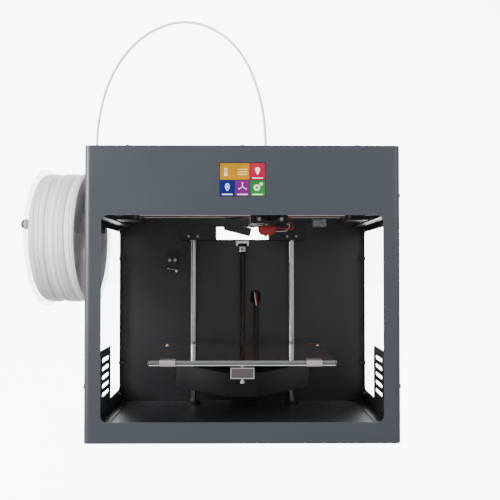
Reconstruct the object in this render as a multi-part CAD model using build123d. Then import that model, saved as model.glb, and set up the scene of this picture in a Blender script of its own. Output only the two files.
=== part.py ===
from build123d import *
import math
import os

# FDM printer with a sheet-metal case. Millimetres, +Z up, front faces -Y.
# Origin: centre of the case's footprint, on the surface that it stands on.

# Case
CASE_W = 410.0
CASE_D = 360.0
CASE_H = 385.0
SHEET = 1.5
BASE_T = 2.0
BEND_R = 8.0
HALF_W = CASE_W / 2
HALF_D = CASE_D / 2
INNER_X = HALF_W - SHEET
FRONT_IN = -HALF_D + SHEET
SHELL_TOP = CASE_H - SHEET
FLANGE = 14.0
OPENING_HALF_W = 182.5
OPENING_Z = (27.5, 294.5)
CORNER_R = 8.0
WINDOW_Y = (-114.0, 114.0)
WINDOW_Z = (25.0, 286.0)
TAB_END_Y = 21.0
TAB_TOP_Z = 106.0
TAB_SLOTS = 5
TOP_OPENING_X = 135.0
TOP_OPENING_Y = (-140.0, 80.0)
PARTITION_Y = 126.0
SLOT_HALF_W = 104.0
SLOT_Z = (274.0, 295.0)
REAR_SLOT_HALF_W = 110.0
REAR_SLOT_Z = (268.0, 302.0)
PANE_T = 2.0
SCREEN_X = 31.0
SCREEN_Z = (317.0, 364.0)
PANE_SCREW_Y = 84.0
PANE_SCREW_OUT = 3.6
RAIL_Y = (-171.0, PARTITION_Y)
RAIL_Z = (295.0, 322.0)

# Electronics bay, between the partition and the rear cover
CABLE_X = 22.0
CABLE_HOLES_Z = (177.0, 58.0)
INLET_X = 160.0
INLET_Z = 40.0
SWITCH_X = 130.0
ROCKER_Y = 178.0
ROCKER_TILT = 10.0
PORT_X = 105.0
FAN_X = 110.0
FAN_Z = 180.0
FAN_BORE = 28.0
FAN_HUB = 12.0
FAN_SIZE = 60.0
FAN_DEPTH = 15.0
FAN_HOLES = 50.0
FAN_BLADES = 7

# Gantry
GANTRY_Y = -27.5
Y_ROD_X = 172.0
Y_ROD_Z = 314.0
ROD_R = 4.0
Y_ROD_Y = (-172.0, 107.0)
X_ROD_PITCH = 45.0
X_ROD_Z = 304.0
BLOCK_X = (150.0, 184.0)
BLOCK_Z = (296.0, 326.0)
BLOCK_HALF_Y = 30.5
RUNNING = 0.05
BUSH_R = 7.5
X_BELT_Z = (329.0, 335.0)
X_PULLEY_X = 160.0
X_BELT_Y = -50.0
PULLEY_R = 5.9
BELT_IN_R = 6.2
BELT_T = 1.2
Y_SHAFT_Y = 104.0
Y_SHAFT_Z = 352.0
Y_IDLER_Y = -160.0
Y_BELT_X = (185.0, 191.0)

# Print head
HEAD_X = 39.0
HEAD_HALF_X = 27.0
HEAD_Y = (-62.0, 7.0)
HEAD_Z = (291.0, 322.0)
FILAMENT_X = 35.0
FILAMENT_R = 0.875
TUBE_R = 2.0
NOZZLE_TIP_Z = 271.5
SOCK_Z = (275.0, 289.0)
GEAR_R = 5.5
GEAR_GAP = 0.2
GEAR_X = FILAMENT_X + FILAMENT_R + GEAR_R + GEAR_GAP
EXTRUDER_Z = 347.0
IDLER_R = 5.5
IDLER_X = FILAMENT_X - FILAMENT_R - IDLER_R - GEAR_GAP
LEVER_PIN = (22.0, 340.0)
COOLER_X = -7.0
COOLER_Z = 283.4
COOLER_TILT = 14.0
HEAD_FAN_X = 40.0
HEAD_FAN_Z = 312.0
HEAD_FAN_SIZE = 40.0
HEAD_FAN_DEPTH = 10.0
HEAD_FAN_BORE = 18.5
HEAD_FAN_HUB = 9.0
HEAD_FAN_HOLES = 32.0

# Bed
BED_HALF_X = 126.0
BED_Y = (-146.0, 82.0)
BED_TOP = 102.5
GLASS_T = 4.0
HEATER_T = 3.0
CARRIER_TOP = 69.0
CARRIER_BOTTOM = 33.0
CARRIER_T = 3.0
CARRIER_X = 108.0
CARRIER_REAR_Y = 115.5
BEAM_Z = (78.0, 93.0)
BEAM_HALF_X = 16.0
BEAM_WALL = 1.6
CROSS_T = 3.0
LEVEL_X = 64.0
LEVEL_Y = 62.0
FRONT_SCREW_IN = 8.0
KNOB_R = 9.0
Z_ROD_X = 81.0
Z_AXIS_Y = 101.0
Z_ROD_R = 5.0
SCREW_R = 4.0
FLOOR_Z = BASE_T
SWITCH_SCREW_X = (-121.5, -112.5)
LEVER_PIVOT = (-124.4, 225.1)
LEVER_SLOPE = 9.0

# Spool
SPOOL_YAW = -4.7
SPOOL_PIVOT_Y = -47.0
SPOOL_X = -252.0
SPOOL_Z = 270.0
SPOOL_R = 100.0
SPOOL_W = 68.0
FLANGE_T = 2.6
WOUND_R = 94.0
HUB_R = 26.3
AXLE_R = 5.5
AXLE_Z = 290.5
AXLE_END_X = -313.0
GUIDE_X = -235.0
GUIDE_Y = 65.0
GUIDE_Z = (386.0, 392.0)
STRAND_FOOT = (-241.0, 51.9, 262.0)

# Routes: cable on the partition, then the guide tube up from the head and down to the guide
BED_CABLE = [
    (22, 136, 185), (22, 129, 182), (22.2, 119.8, 169), (23, 119.8, 146), (22.6, 119.8, 120),
    (21.6, 119.8, 94), (22, 119.8, 66), (22, 129, 53), (22, 136, 50),
]
BED_CABLE_R = 3.8
TUBE_TO_TOP = [
    (35, -27.5, 375), (35, -27.5, 405), (33, -25, 450), (24, -20, 494), (7.7, -14, 537.6),
    (-17.4, -7, 573), (-51, 2, 597.5), (-70, 7.5, 603.4),
]
TUBE_TO_GUIDE = [
    (-70, 7.5, 603.4), (-90.9, 13.55, 609.89), (-132.4, 24, 602.8), (-168.6, 34, 582),
    (-197.4, 43, 551), (-218.6, 51, 510), (-230.6, 58, 463.4), (-235, 65, 424), (-235, 65, 389),
]
HEATER_WIRES = [
    ([(50, -31, 285), (57, -31, 285), (67, -31, 284), (75, -28, 283), (76, -23, 289),
      (72, -22, 294.5), (66, -22, 294.5)], 0.9),
    ([(50, -25, 285), (57, -25, 285), (65, -23, 283), (70, -18, 286), (71, -15, 291.5),
      (69.8, -15, 295.6), (66, -15, 295.6)], 0.9),
    ([(50, -28, 280.5), (56, -28, 280.5), (63, -27, 279.5), (69, -25.5, 282), (72, -25, 288),
      (70.5, -25.5, 293), (66, -25.5, 293)], 0.7),
]

NODES = {}


def save(name, *shapes):
    # A node is one piece, or several separate solids that belong together.
    solids = [solid for shape in shapes for solid in shape.solids()]
    NODES[name] = solids[0] if len(solids) == 1 else Compound(children=solids)


def block(x, y, z):
    size = (x[1] - x[0], y[1] - y[0], z[1] - z[0])
    middle = ((x[0] + x[1]) / 2, (y[0] + y[1]) / 2, (z[0] + z[1]) / 2)
    return Pos(*middle) * Box(*size)


def rod_x(radius, x, y, z):
    return Pos((x[0] + x[1]) / 2, y, z) * Rot(0, 90, 0) * Cylinder(radius, x[1] - x[0])


def rod_y(radius, x, y, z):
    return Pos(x, (y[0] + y[1]) / 2, z) * Rot(90, 0, 0) * Cylinder(radius, y[1] - y[0])


def rod_z(radius, x, y, z):
    return Pos(x, y, (z[0] + z[1]) / 2) * Cylinder(radius, z[1] - z[0])


def rounded_y(x, y, z, radius):
    # A block whose edges along Y are rounded.
    shape = block(x, y, z)
    return fillet(shape.edges().filter_by(Axis.Y), radius)


def rounded_x(x, y, z, radius):
    shape = block(x, y, z)
    return fillet(shape.edges().filter_by(Axis.X), radius)


def rounded_z(x, y, z, radius):
    shape = block(x, y, z)
    return fillet(shape.edges().filter_by(Axis.Z), radius)


def group(shapes):
    return Compound(children=list(shapes))


def both_sides(make):
    return group([make(-1), make(1)])


def span(side, low, high):
    # An X range on the left (-1) or the right (1) side.
    return (low, high) if side > 0 else (-high, -low)


def cap_screw_y(x, y, z, radius, length, head):
    # A cap screw along Y: its head is in front of y, its shank runs back from y.
    body = rod_y(radius, x, (y, y + length), z)
    cap = rod_y(radius * 1.8, x, (y - head, y), z)
    hexagon = extrude(RegularPolygon(radius * 0.9, 6), head * 0.6, both=True)
    socket = Pos(x, y - head, z) * Rot(90, 0, 0) * hexagon
    return body + cap - socket


# Case: shell, covers, panes and their screws

def case_outline(z):
    # The case's outline in plan: square at the back, bent at the two front edges.
    shape = block((-HALF_W, HALF_W), (-HALF_D, HALF_D), z)
    bends = shape.edges().filter_by(Axis.Z).sort_by(Axis.Y)[:2]
    return fillet(bends, BEND_R)


def side_window(side):
    x = span(side, INNER_X - 5, HALF_W + 5)
    window = rounded_x(x, WINDOW_Y, WINDOW_Z, CORNER_R)
    tab = block(x, (WINDOW_Y[0] - 1, TAB_END_Y), (WINDOW_Z[0] - 1, TAB_TOP_Z))
    return window - tab


def tab_slots(side):
    # Plain vent slots through the tab below each window.
    x = span(side, INNER_X - 5, HALF_W + 5)
    pitch = 12.5
    slots = []
    for i in range(TAB_SLOTS):
        z = 40.5 + i * pitch
        slots.append(rounded_x(x, (-50, 8), (z - 3, z + 3), 2.9))
    return slots


def case_shell():
    shell = case_outline((BASE_T, SHELL_TOP))
    z = (BASE_T + SHEET, SHELL_TOP - SHEET)
    inner = block((-INNER_X, INNER_X), (FRONT_IN, HALF_D + 1), z)
    bends = inner.edges().filter_by(Axis.Z).sort_by(Axis.Y)[:2]
    inner = fillet(bends, BEND_R - SHEET)
    well = block((FLANGE - HALF_W, HALF_W - FLANGE), (FLANGE - HALF_D, HALF_D + 1), (0, CASE_H))
    shell = shell - inner - well
    shell -= rounded_y((-OPENING_HALF_W, OPENING_HALF_W), (-HALF_D - 5, FRONT_IN + 5), OPENING_Z, CORNER_R)
    screen_z = (SCREEN_Z[0] + 1, SCREEN_Z[1] - 1)
    shell -= block((1 - SCREEN_X, SCREEN_X - 1), (-HALF_D - 5, FRONT_IN + 2), screen_z)
    for side in (-1, 1):
        shell -= side_window(side)
        for slot in tab_slots(side):
            shell -= slot
    return shell


def top_cover():
    plate = case_outline((SHELL_TOP, CASE_H))
    z = (SHELL_TOP - 1, CASE_H + 1)
    opening = rounded_z((-TOP_OPENING_X, TOP_OPENING_X), TOP_OPENING_Y, z, CORNER_R)
    return plate - opening


def rear_partition():
    y = (PARTITION_Y, PARTITION_Y + SHEET)
    cut = (PARTITION_Y - 5, PARTITION_Y + 5)
    sheet = block((-INNER_X, INNER_X), y, (BASE_T + SHEET, SHELL_TOP - SHEET))
    sheet -= block((-SLOT_HALF_W, SLOT_HALF_W), cut, SLOT_Z)
    for z in CABLE_HOLES_Z:
        sheet -= rounded_y((CABLE_X - 8, CABLE_X + 8), cut, (z - 11, z + 11), 7.9)
    return sheet


def rear_cover():
    y = (HALF_D - SHEET, HALF_D)
    cut = (HALF_D - 5, HALF_D + 5)
    sheet = block((-INNER_X, INNER_X), y, (BASE_T + SHEET, SHELL_TOP - SHEET))
    sheet -= rounded_y((-REAR_SLOT_HALF_W, REAR_SLOT_HALF_W), cut, REAR_SLOT_Z, 4)
    sheet -= block((INLET_X - 14, INLET_X + 14), cut, (INLET_Z - 10, INLET_Z + 10))
    sheet -= block((SWITCH_X - 6.5, SWITCH_X + 6.5), cut, (INLET_Z - 9.6, INLET_Z + 9.6))
    sheet -= block((PORT_X - 6.5, PORT_X + 6.5), cut, (INLET_Z - 6, INLET_Z + 6))
    sheet -= rod_y(FAN_BORE, FAN_X, cut, FAN_Z)
    for i in range(9):
        z = 60 + i * 12
        sheet -= rounded_y((-160, -60), cut, (z - 2.5, z + 2.5), 2.4)
    return sheet


def fan_guard():
    # Rings and spokes of wire over the exhaust fan.
    y = (HALF_D, HALF_D + 1.6)
    rings = []
    for radius in (8, 15, 22, 29):
        ring = rod_y(radius + 0.8, FAN_X, y, FAN_Z)
        rings.append(ring - rod_y(radius - 0.8, FAN_X, (y[0] - 1, y[1] + 1), FAN_Z))
    guard = rings[0] + rings[1:]
    spoke = block((-32, 32), y, (-0.8, 0.8))
    for angle in (45, 135):
        guard += Pos(FAN_X, 0, FAN_Z) * Rot(0, angle, 0) * spoke
    return guard


def side_pane(side):
    x = span(side, INNER_X - PANE_T, INNER_X)
    y = (WINDOW_Y[0] - 10, WINDOW_Y[1] + 8)
    return rounded_x(x, y, (WINDOW_Z[0] - 8, WINDOW_Z[1] + 7), 6)


def pane_screw_spots():
    rear = WINDOW_Y[1] + 4
    front = WINDOW_Y[0] - 5
    spots = [(rear, 242), (rear, 68), (front, 242), (front, 68)]
    for y in (-PANE_SCREW_Y, PANE_SCREW_Y):
        spots.append((y, WINDOW_Z[1] + PANE_SCREW_OUT))
        spots.append((y, WINDOW_Z[0] - PANE_SCREW_OUT))
    return spots


def pane_screws():
    # Each screw runs from the outer face through the wall and the pane to a nut.
    screws = []
    for side in (-1, 1):
        for y, z in pane_screw_spots():
            screw = rod_x(1.5, span(side, INNER_X - PANE_T - 5, HALF_W), y, z)
            screw += rod_x(2.6, span(side, HALF_W, HALF_W + 1.4), y, z)
            screw += rod_x(2.7, span(side, INNER_X - PANE_T - 2.4, INNER_X - PANE_T), y, z)
            screws.append(screw)
    return group(screws)


def drilled_side(shape, side):
    for y, z in pane_screw_spots():
        shape -= rod_x(1.5, span(side, INNER_X - 5, HALF_W + 5), y, z)
    return shape


def case_screws():
    # Pan heads along the front edges of the top and the sides.
    screws = []
    front = (-HALF_D + 8, (-150, 0, 150))
    rear = (HALF_D - 8, (-150, 150))
    for y, spots in (front, rear):
        for x in spots:
            screws.append(rod_z(3, x, y, (CASE_H, CASE_H + 1.5)))
    for side in (-1, 1):
        for z in (72, 321):
            for y in (-HALF_D + 12, HALF_D - 8):
                screws.append(rod_x(3, span(side, HALF_W, HALF_W + 1.5), y, z))
    return group(screws)


def side_rail(side):
    # An angle along the wall that carries the rod holders.
    shelf_z = (RAIL_Z[0], RAIL_Z[0] + SHEET)
    shelf = block(span(side, 187, INNER_X), RAIL_Y, shelf_z)
    return shelf + block(span(side, INNER_X - SHEET, INNER_X), RAIL_Y, (shelf_z[1], RAIL_Z[1]))


def touch_screen():
    frame = block((-SCREEN_X, SCREEN_X), (FRONT_IN, FRONT_IN + 2.5), SCREEN_Z)
    raised_z = (SCREEN_Z[0] + 1.1, SCREEN_Z[1] - 1.1)
    return frame + block((1.1 - SCREEN_X, SCREEN_X - 1.1), (-HALF_D + 0.3, FRONT_IN), raised_z)


def display_board():
    y = (FRONT_IN + 2.5, FRONT_IN + 4.1)
    board = block((-40, 40), y, (SCREEN_Z[0] - 4, SCREEN_Z[1] + 4))
    chip = block((-12, 12), (y[1], y[1] + 2), (334, 346))
    socket = block((22, 34), (y[1], y[1] + 4), (328, 352))
    return board + chip + socket


# Electronics behind the partition

def power_supply():
    case = block((-190, -40), (PARTITION_Y + SHEET, 166), (14, 112))
    terminals = block((-40, -28), (140, 160), (30, 96))
    for i in range(6):
        z = 38 + i * 10
        terminals -= rod_x(2, (-31, -27), 150, z)
    vents = []
    for i in range(7):
        x = -176 + i * 20
        vents.append(block((x, x + 8), (164.5, 167), (40, 86)))
    return (case - vents) + terminals


def control_board():
    board_y = (136.0, 137.6)
    board = block((-10, 90), board_y, (60, 150))
    for x in (-4, 84):
        for z in (66, 144):
            board += rod_y(3, x, (PARTITION_Y + SHEET, board_y[0]), z)
    for i in range(4):
        x = 2 + i * 18
        board += block((x, x + 12), (board_y[1], board_y[1] + 9), (120, 132))
    board += block((20, 44), (board_y[1], board_y[1] + 2), (88, 108))
    for i in range(5):
        x = -2 + i * 18
        board += block((x, x + 10), (board_y[1], board_y[1] + 8), (62, 72))
    return board


def power_inlet():
    inlet = block((INLET_X - 13.9, INLET_X + 13.9), (160, HALF_D), (INLET_Z - 9.9, INLET_Z + 9.9))
    rim_z = (INLET_Z - 13, INLET_Z + 13)
    inlet += rounded_y((INLET_X - 17, INLET_X + 17), (HALF_D, HALF_D + 2), rim_z, 3)
    socket_z = (INLET_Z - 7.5, INLET_Z + 7.5)
    inlet -= block((INLET_X - 11.5, INLET_X + 11.5), (164, HALF_D + 3), socket_z)
    for x in (-6, 0, 6):
        inlet += block((INLET_X + x - 1, INLET_X + x + 1), (164, 177), (INLET_Z - 2, INLET_Z + 2))
    return inlet


def switch_frame():
    outer = block((SWITCH_X - 6.4, SWITCH_X + 6.4), (164, HALF_D), (INLET_Z - 9.5, INLET_Z + 9.5))
    lip = block((SWITCH_X - 8, SWITCH_X + 8), (HALF_D, HALF_D + 1.5), (INLET_Z - 11, INLET_Z + 11))
    hollow = block((SWITCH_X - 5, SWITCH_X + 5), (168, HALF_D + 2), (INLET_Z - 8, INLET_Z + 8))
    return outer + lip - hollow


def switch_rocker():
    # The rocker pivots about X just inside the back face, and rests tipped to one side.
    cap = rod_x(7.2, (-4.7, 4.7), 0, 0) & block((-5, 5), (-2, 6), (-7.2, 7.2))
    return Pos(SWITCH_X, ROCKER_Y, INLET_Z) * Rot(ROCKER_TILT, 0, 0) * cap


def data_port():
    y = (164, HALF_D + 0.5)
    body = block((PORT_X - 6.4, PORT_X + 6.4), y, (INLET_Z - 5.9, INLET_Z + 5.9))
    return body - block((PORT_X - 4.2, PORT_X + 4.2), (168, y[1] + 1), (INLET_Z - 4, INLET_Z + 4))


def fan_frame(size, depth, bore, hub, hole_pitch):
    # A square fan frame, centred, its axis along Z, with a hub on three struts at the bottom.
    frame = Box(size, size, depth) - Cylinder(bore, depth + 2)
    frame += Pos(0, 0, -depth / 2 + 0.75) * Cylinder(hub, 1.5)
    for angle in (0, 120, 240):
        strut = Pos(bore / 2, 0, -depth / 2 + 0.75) * Box(bore + 1, 2, 1.5)
        frame += Rot(0, 0, angle) * strut
    for x in (-hole_pitch / 2, hole_pitch / 2):
        for y in (-hole_pitch / 2, hole_pitch / 2):
            frame -= Pos(x, y, 0) * Cylinder(1.6, depth + 2)
    return frame


def fan_rotor(bore, hub, depth, blades):
    # The hub and its swept blades, clear of the frame's bore and of the struts.
    rotor = Pos(0, 0, 1) * Cylinder(hub, depth - 3)
    blade_r = bore - 0.8
    blade = Rot(35, 0, 0) * Box(blade_r - hub + 1, 1.2, depth - 3)
    blade = Pos((hub + blade_r) / 2 - 0.5, 0, 1) * blade
    ring = Pos(0, 0, 1) * Cylinder(blade_r, depth - 3)
    blade = blade & ring
    for i in range(blades):
        rotor += Rot(0, 0, i * 360 / blades) * blade
    return rotor


def exhaust_place():
    return Pos(FAN_X, HALF_D - SHEET - FAN_DEPTH / 2, FAN_Z) * Rot(90, 0, 0)


# Gantry: Y rods on the case, and the bridge that slides along them

def y_rod_holders():
    holders = []
    for side in (-1, 1):
        for y in ((-172, -160), (95, 107)):
            holder = block(span(side, 162, 200), y, (296.5, 325))
            holder -= rod_y(ROD_R, side * Y_ROD_X, (y[0] - 1, y[1] + 1), Y_ROD_Z)
            holder -= rod_z(1.6, side * 194, (y[0] + y[1]) / 2, (290, 330))
            holders.append(holder)
    return group(holders)


def y_rod(side):
    return rod_y(ROD_R, side * Y_ROD_X, Y_ROD_Y, Y_ROD_Z)


def gantry_range():
    return (GANTRY_Y - BLOCK_HALF_Y, GANTRY_Y + BLOCK_HALF_Y)


def gantry_block(side):
    y = gantry_range()
    body = block(span(side, *BLOCK_X), y, BLOCK_Z)
    body = fillet(body.edges().filter_by(Axis.Y), 2)
    body -= rod_y(BUSH_R, side * Y_ROD_X, (y[0] - 1, y[1] + 1), Y_ROD_Z)
    for rod_side in (-1, 1):
        rod_pos = GANTRY_Y + rod_side * X_ROD_PITCH / 2
        body -= rod_x(ROD_R, span(side, BLOCK_X[0] - 1, BLOCK_X[0] + 12), rod_pos, X_ROD_Z)
    for x in (155, 179):
        body -= rod_y(1.5, side * x, (y[0] - 1, y[0] + 6), 300.5)
    clamp_y = (GANTRY_Y + 4, GANTRY_Y + 24)
    clamp = block(span(side, 182, 193), clamp_y, (318, 350))
    gap_y = (clamp_y[0] - 1, clamp_y[1] + 1)
    clamp -= block(span(side, Y_BELT_X[0] - 0.4, Y_BELT_X[1] + 0.4), gap_y, (344.2, 346.2))
    return body + clamp


def gantry_bolts():
    # Screws in the blocks' front faces, one beside the end of each X rod.
    bolts = []
    front = gantry_range()[0]
    for side in (-1, 1):
        for x in (155, 179):
            bolts.append(cap_screw_y(side * x, front, 300.5, 1.5, 6, 2.6))
    return group(bolts)


def y_bushings():
    bushings = []
    for side in (-1, 1):
        y = gantry_range()
        bush = rod_y(BUSH_R, side * Y_ROD_X, y, Y_ROD_Z)
        bush -= rod_y(ROD_R + RUNNING, side * Y_ROD_X, (y[0] - 1, y[1] + 1), Y_ROD_Z)
        bushings.append(bush)
    return group(bushings)


def x_rods():
    x = (-BLOCK_X[0] - 12, BLOCK_X[0] + 12)
    return group([rod_x(ROD_R, x, GANTRY_Y + s * X_ROD_PITCH / 2, X_ROD_Z) for s in (-1, 1)])


def stadium(length, radius, height):
    # A flat loop shape along X, centred, with its thickness along Z.
    return extrude(SlotCenterToCenter(length, radius * 2), height / 2, both=True)


def belt_loop(length, height):
    return stadium(length, BELT_IN_R + BELT_T, height) - stadium(length, BELT_IN_R, height + 2)


def x_belt():
    z = sum(X_BELT_Z) / 2
    return Pos(0, X_BELT_Y, z) * belt_loop(2 * X_PULLEY_X, X_BELT_Z[1] - X_BELT_Z[0])


def y_belts():
    middle = (Y_IDLER_Y + Y_SHAFT_Y) / 2
    loop = belt_loop(Y_SHAFT_Y - Y_IDLER_Y, Y_BELT_X[1] - Y_BELT_X[0])
    x = sum(Y_BELT_X) / 2
    upright = Rot(0, 90, 0) * Rot(0, 0, 90) * loop
    return both_sides(lambda side: Pos(side * x, middle, Y_SHAFT_Z) * upright)


def toothed(radius, height, teeth, depth):
    # A pulley or gear blank with round tooth gaps, centred, its axis along Z.
    wheel = Cylinder(radius, height)
    gap = Pos(radius, 0, 0) * Cylinder(depth, height + 2)
    gaps = [Rot(0, 0, i * 360 / teeth) * gap for i in range(teeth)]
    return wheel - gaps


def pulley(height):
    # A toothed pulley between two flanges, centred, its axis along Z.
    wheel = toothed(PULLEY_R, height, 18, 0.45)
    for side in (-1, 1):
        wheel += Pos(0, 0, side * (height / 2 + 0.5)) * Cylinder(PULLEY_R + 2, 1)
    return wheel


def x_motor():
    # The motor stands on a plate above the left block, with its shaft pointing down.
    y = (X_BELT_Y - 21, X_BELT_Y + 21)
    x = (-X_PULLEY_X - 21, 21 - X_PULLEY_X)
    body = rounded_z(x, y, (340, 372), 4)
    return body + rod_z(11, -X_PULLEY_X, X_BELT_Y, (338.5, 340))


def x_motor_plate():
    x = (-X_PULLEY_X - 20, 21 - X_PULLEY_X)
    y = (X_BELT_Y - 21, X_BELT_Y + 21)
    plate = block(x, y, (337.5, 340))
    plate -= rod_z(11, -X_PULLEY_X, X_BELT_Y, (337, 341))
    for post_x, post_y in ((-176, -54), (-176, -34), (-154, -34)):
        plate += rod_z(3.2, post_x, post_y, (BLOCK_Z[1], 337.5))
    return plate


def x_pulley():
    z = sum(X_BELT_Z) / 2
    wheel = Pos(-X_PULLEY_X, X_BELT_Y, z) * pulley(6.6)
    return wheel + rod_z(2.5, -X_PULLEY_X, X_BELT_Y, (z, 338.4))


def x_idler_axle():
    z = sum(X_BELT_Z) / 2
    pin = rod_z(2.5, X_PULLEY_X, X_BELT_Y, (BLOCK_Z[1], z + 5))
    return pin + rod_z(4.5, X_PULLEY_X, X_BELT_Y, (z + 5, z + 7))


def x_idler():
    z = sum(X_BELT_Z) / 2
    wheel = Pos(X_PULLEY_X, X_BELT_Y, z) * pulley(6.6)
    return wheel - rod_z(2.5 + RUNNING, X_PULLEY_X, X_BELT_Y, (z - 9, z + 9))


def y_motor():
    x = (146, 178)
    y = (Y_SHAFT_Y - 21, Y_SHAFT_Y + 21)
    body = rounded_x(x, y, (Y_SHAFT_Z - 21, Y_SHAFT_Z + 21), 4)
    return body - rod_x(3, (x[0] - 1, x[1] + 1), Y_SHAFT_Y, Y_SHAFT_Z)


def y_shaft():
    # The motor's long shaft, with a pulley at each end.
    shaft = rod_x(2.5, (-200, 200), Y_SHAFT_Y, Y_SHAFT_Z)
    for side in (-1, 1):
        x = side * sum(Y_BELT_X) / 2
        shaft += Pos(x, Y_SHAFT_Y, Y_SHAFT_Z) * Rot(0, 90, 0) * pulley(7)
    return shaft


def shaft_bearings():
    bearings = []
    for side in (-1, 1):
        x = span(side, 194.5, INNER_X)
        plate = block(x, (Y_SHAFT_Y - 12, Y_SHAFT_Y + 12), (Y_SHAFT_Z - 12, Y_SHAFT_Z + 12))
        bore_x = span(side, 190, INNER_X - 1.5)
        bearings.append(plate - rod_x(2.5 + RUNNING, bore_x, Y_SHAFT_Y, Y_SHAFT_Z))
    return group(bearings)


def y_idler_pins():
    pins = []
    for side in (-1, 1):
        pin = rod_x(2.5, span(side, 182, INNER_X), Y_IDLER_Y, Y_SHAFT_Z)
        pin += rod_x(4.5, span(side, 194, INNER_X), Y_IDLER_Y, Y_SHAFT_Z)
        pin += rod_x(4.5, span(side, 181.6, 183.2), Y_IDLER_Y, Y_SHAFT_Z)
        pins.append(pin)
    return group(pins)


def y_idler(side):
    x = side * sum(Y_BELT_X) / 2
    wheel = Pos(x, Y_IDLER_Y, Y_SHAFT_Z) * Rot(0, 90, 0) * pulley(7)
    return wheel - rod_x(2.5 + RUNNING, (x - 9, x + 9), Y_IDLER_Y, Y_SHAFT_Z)


def junction_housing():
    # A small pale housing on the partition, under the top.
    return rounded_y((117, 139), (100, PARTITION_Y), (294, 309), 1.5)


# Print head

def carriage():
    x = (HEAD_X - HEAD_HALF_X, HEAD_X + HEAD_HALF_X)
    body = rounded_z(x, HEAD_Y, HEAD_Z, 3)
    for side in (-1, 1):
        body -= rod_x(BUSH_R, (x[0] - 1, x[1] + 1), GANTRY_Y + side * X_ROD_PITCH / 2, X_ROD_Z)
    body -= rod_z(12, FILAMENT_X, GANTRY_Y, (HEAD_Z[0] - 1, HEAD_Z[1] + 1))
    belt_y = X_BELT_Y + BELT_IN_R + BELT_T / 2
    clamp = block((HEAD_X + 10, HEAD_X + 24), (belt_y - 3.4, belt_y + 3.4), (HEAD_Z[1], 340))
    gap = (belt_y - 1.1, belt_y + 1.1)
    clamp -= block((HEAD_X + 9, HEAD_X + 25), gap, (X_BELT_Z[0] - 0.5, X_BELT_Z[1] + 0.5))
    return body + clamp


def x_bushings():
    bushings = []
    for side in (-1, 1):
        y = GANTRY_Y + side * X_ROD_PITCH / 2
        for x in ((HEAD_X - HEAD_HALF_X, HEAD_X - 3), (HEAD_X + 3, HEAD_X + HEAD_HALF_X)):
            bush = rod_x(BUSH_R, x, y, X_ROD_Z)
            bushings.append(bush - rod_x(ROD_R + RUNNING, (x[0] - 1, x[1] + 1), y, X_ROD_Z))
    return group(bushings)


def heat_sink():
    core = rod_z(5, FILAMENT_X, GANTRY_Y, (293, 322))
    for i in range(8):
        z = 294.5 + i * 3.2
        core += rod_z(11, FILAMENT_X, GANTRY_Y, (z, z + 1.1))
    return core - rod_z(1.1, FILAMENT_X, GANTRY_Y, (292, 323))


def heat_break():
    tube = rod_z(2.5, FILAMENT_X, GANTRY_Y, (287, 293))
    return tube - rod_z(1.1, FILAMENT_X, GANTRY_Y, (286, 294))


def heater_sock():
    # A soft red cover over the heater block, with its lower edges drawn in.
    body = block((23, 50), (GANTRY_Y - 11, GANTRY_Y + 11), SOCK_Z)
    body = chamfer(body.faces().sort_by(Axis.Z)[0].edges(), 3.4)
    body = fillet(body.edges().filter_by(Axis.Z), 2)
    body -= block((24.5, 48.5), (GANTRY_Y - 8, GANTRY_Y + 8), (279, 287))
    body -= rod_z(2.5, FILAMENT_X, GANTRY_Y, (286, 290))
    return body - rod_z(3.2, FILAMENT_X, GANTRY_Y, (274, 280))


def heater_block():
    body = block((24.5, 48.5), (GANTRY_Y - 8, GANTRY_Y + 8), (279, 287))
    return body - rod_z(1.1, FILAMENT_X, GANTRY_Y, (278, 288))


def nozzle():
    tip = Pos(FILAMENT_X, GANTRY_Y, NOZZLE_TIP_Z + 1.5) * Cone(0.6, 2.6, 3)
    stem = rod_z(2.6, FILAMENT_X, GANTRY_Y, (NOZZLE_TIP_Z + 3, 279))
    return tip + stem - rod_z(0.3, FILAMENT_X, GANTRY_Y, (271, 280))


def heater_wires():
    # Wires from the sock's right side that droop and climb back to the carriage.
    return group([tube_along(points, radius) for points, radius in HEATER_WIRES])


def front_fan_place():
    return Pos(HEAD_FAN_X, HEAD_Y[0] - HEAD_FAN_DEPTH / 2, HEAD_FAN_Z) * Rot(90, 0, 0)


def cooling_fan_place():
    # Beside the nozzle, its left side raised.
    return Pos(COOLER_X, GANTRY_Y, COOLER_Z) * Rot(0, COOLER_TILT, 0)


def fan_bracket():
    # A bent strip from the carriage's left side down to the top of the tilted fan.
    x = HEAD_X - HEAD_HALF_X
    strip = block((x - 1.2, x), (GANTRY_Y - 16, GANTRY_Y + 16), (COOLER_Z + 1, 303))
    strip -= block((x - 2, x + 1), (GANTRY_Y - 8, GANTRY_Y + 8), (COOLER_Z + 4, 297))
    top = HEAD_FAN_DEPTH / 2
    foot = block((8, 17.6), (-16, 16), (top, top + 1))
    return strip + cooling_fan_place() * foot


def head_screws():
    screws = []
    half = HEAD_FAN_HOLES / 2
    front = HEAD_Y[0] - HEAD_FAN_DEPTH
    for x in (HEAD_FAN_X - half, HEAD_FAN_X + half):
        for z in (HEAD_FAN_Z - half, HEAD_FAN_Z + half):
            screws.append(cap_screw_y(x, front, z, 1.5, 8, 2.4))
    return group(screws)


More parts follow.
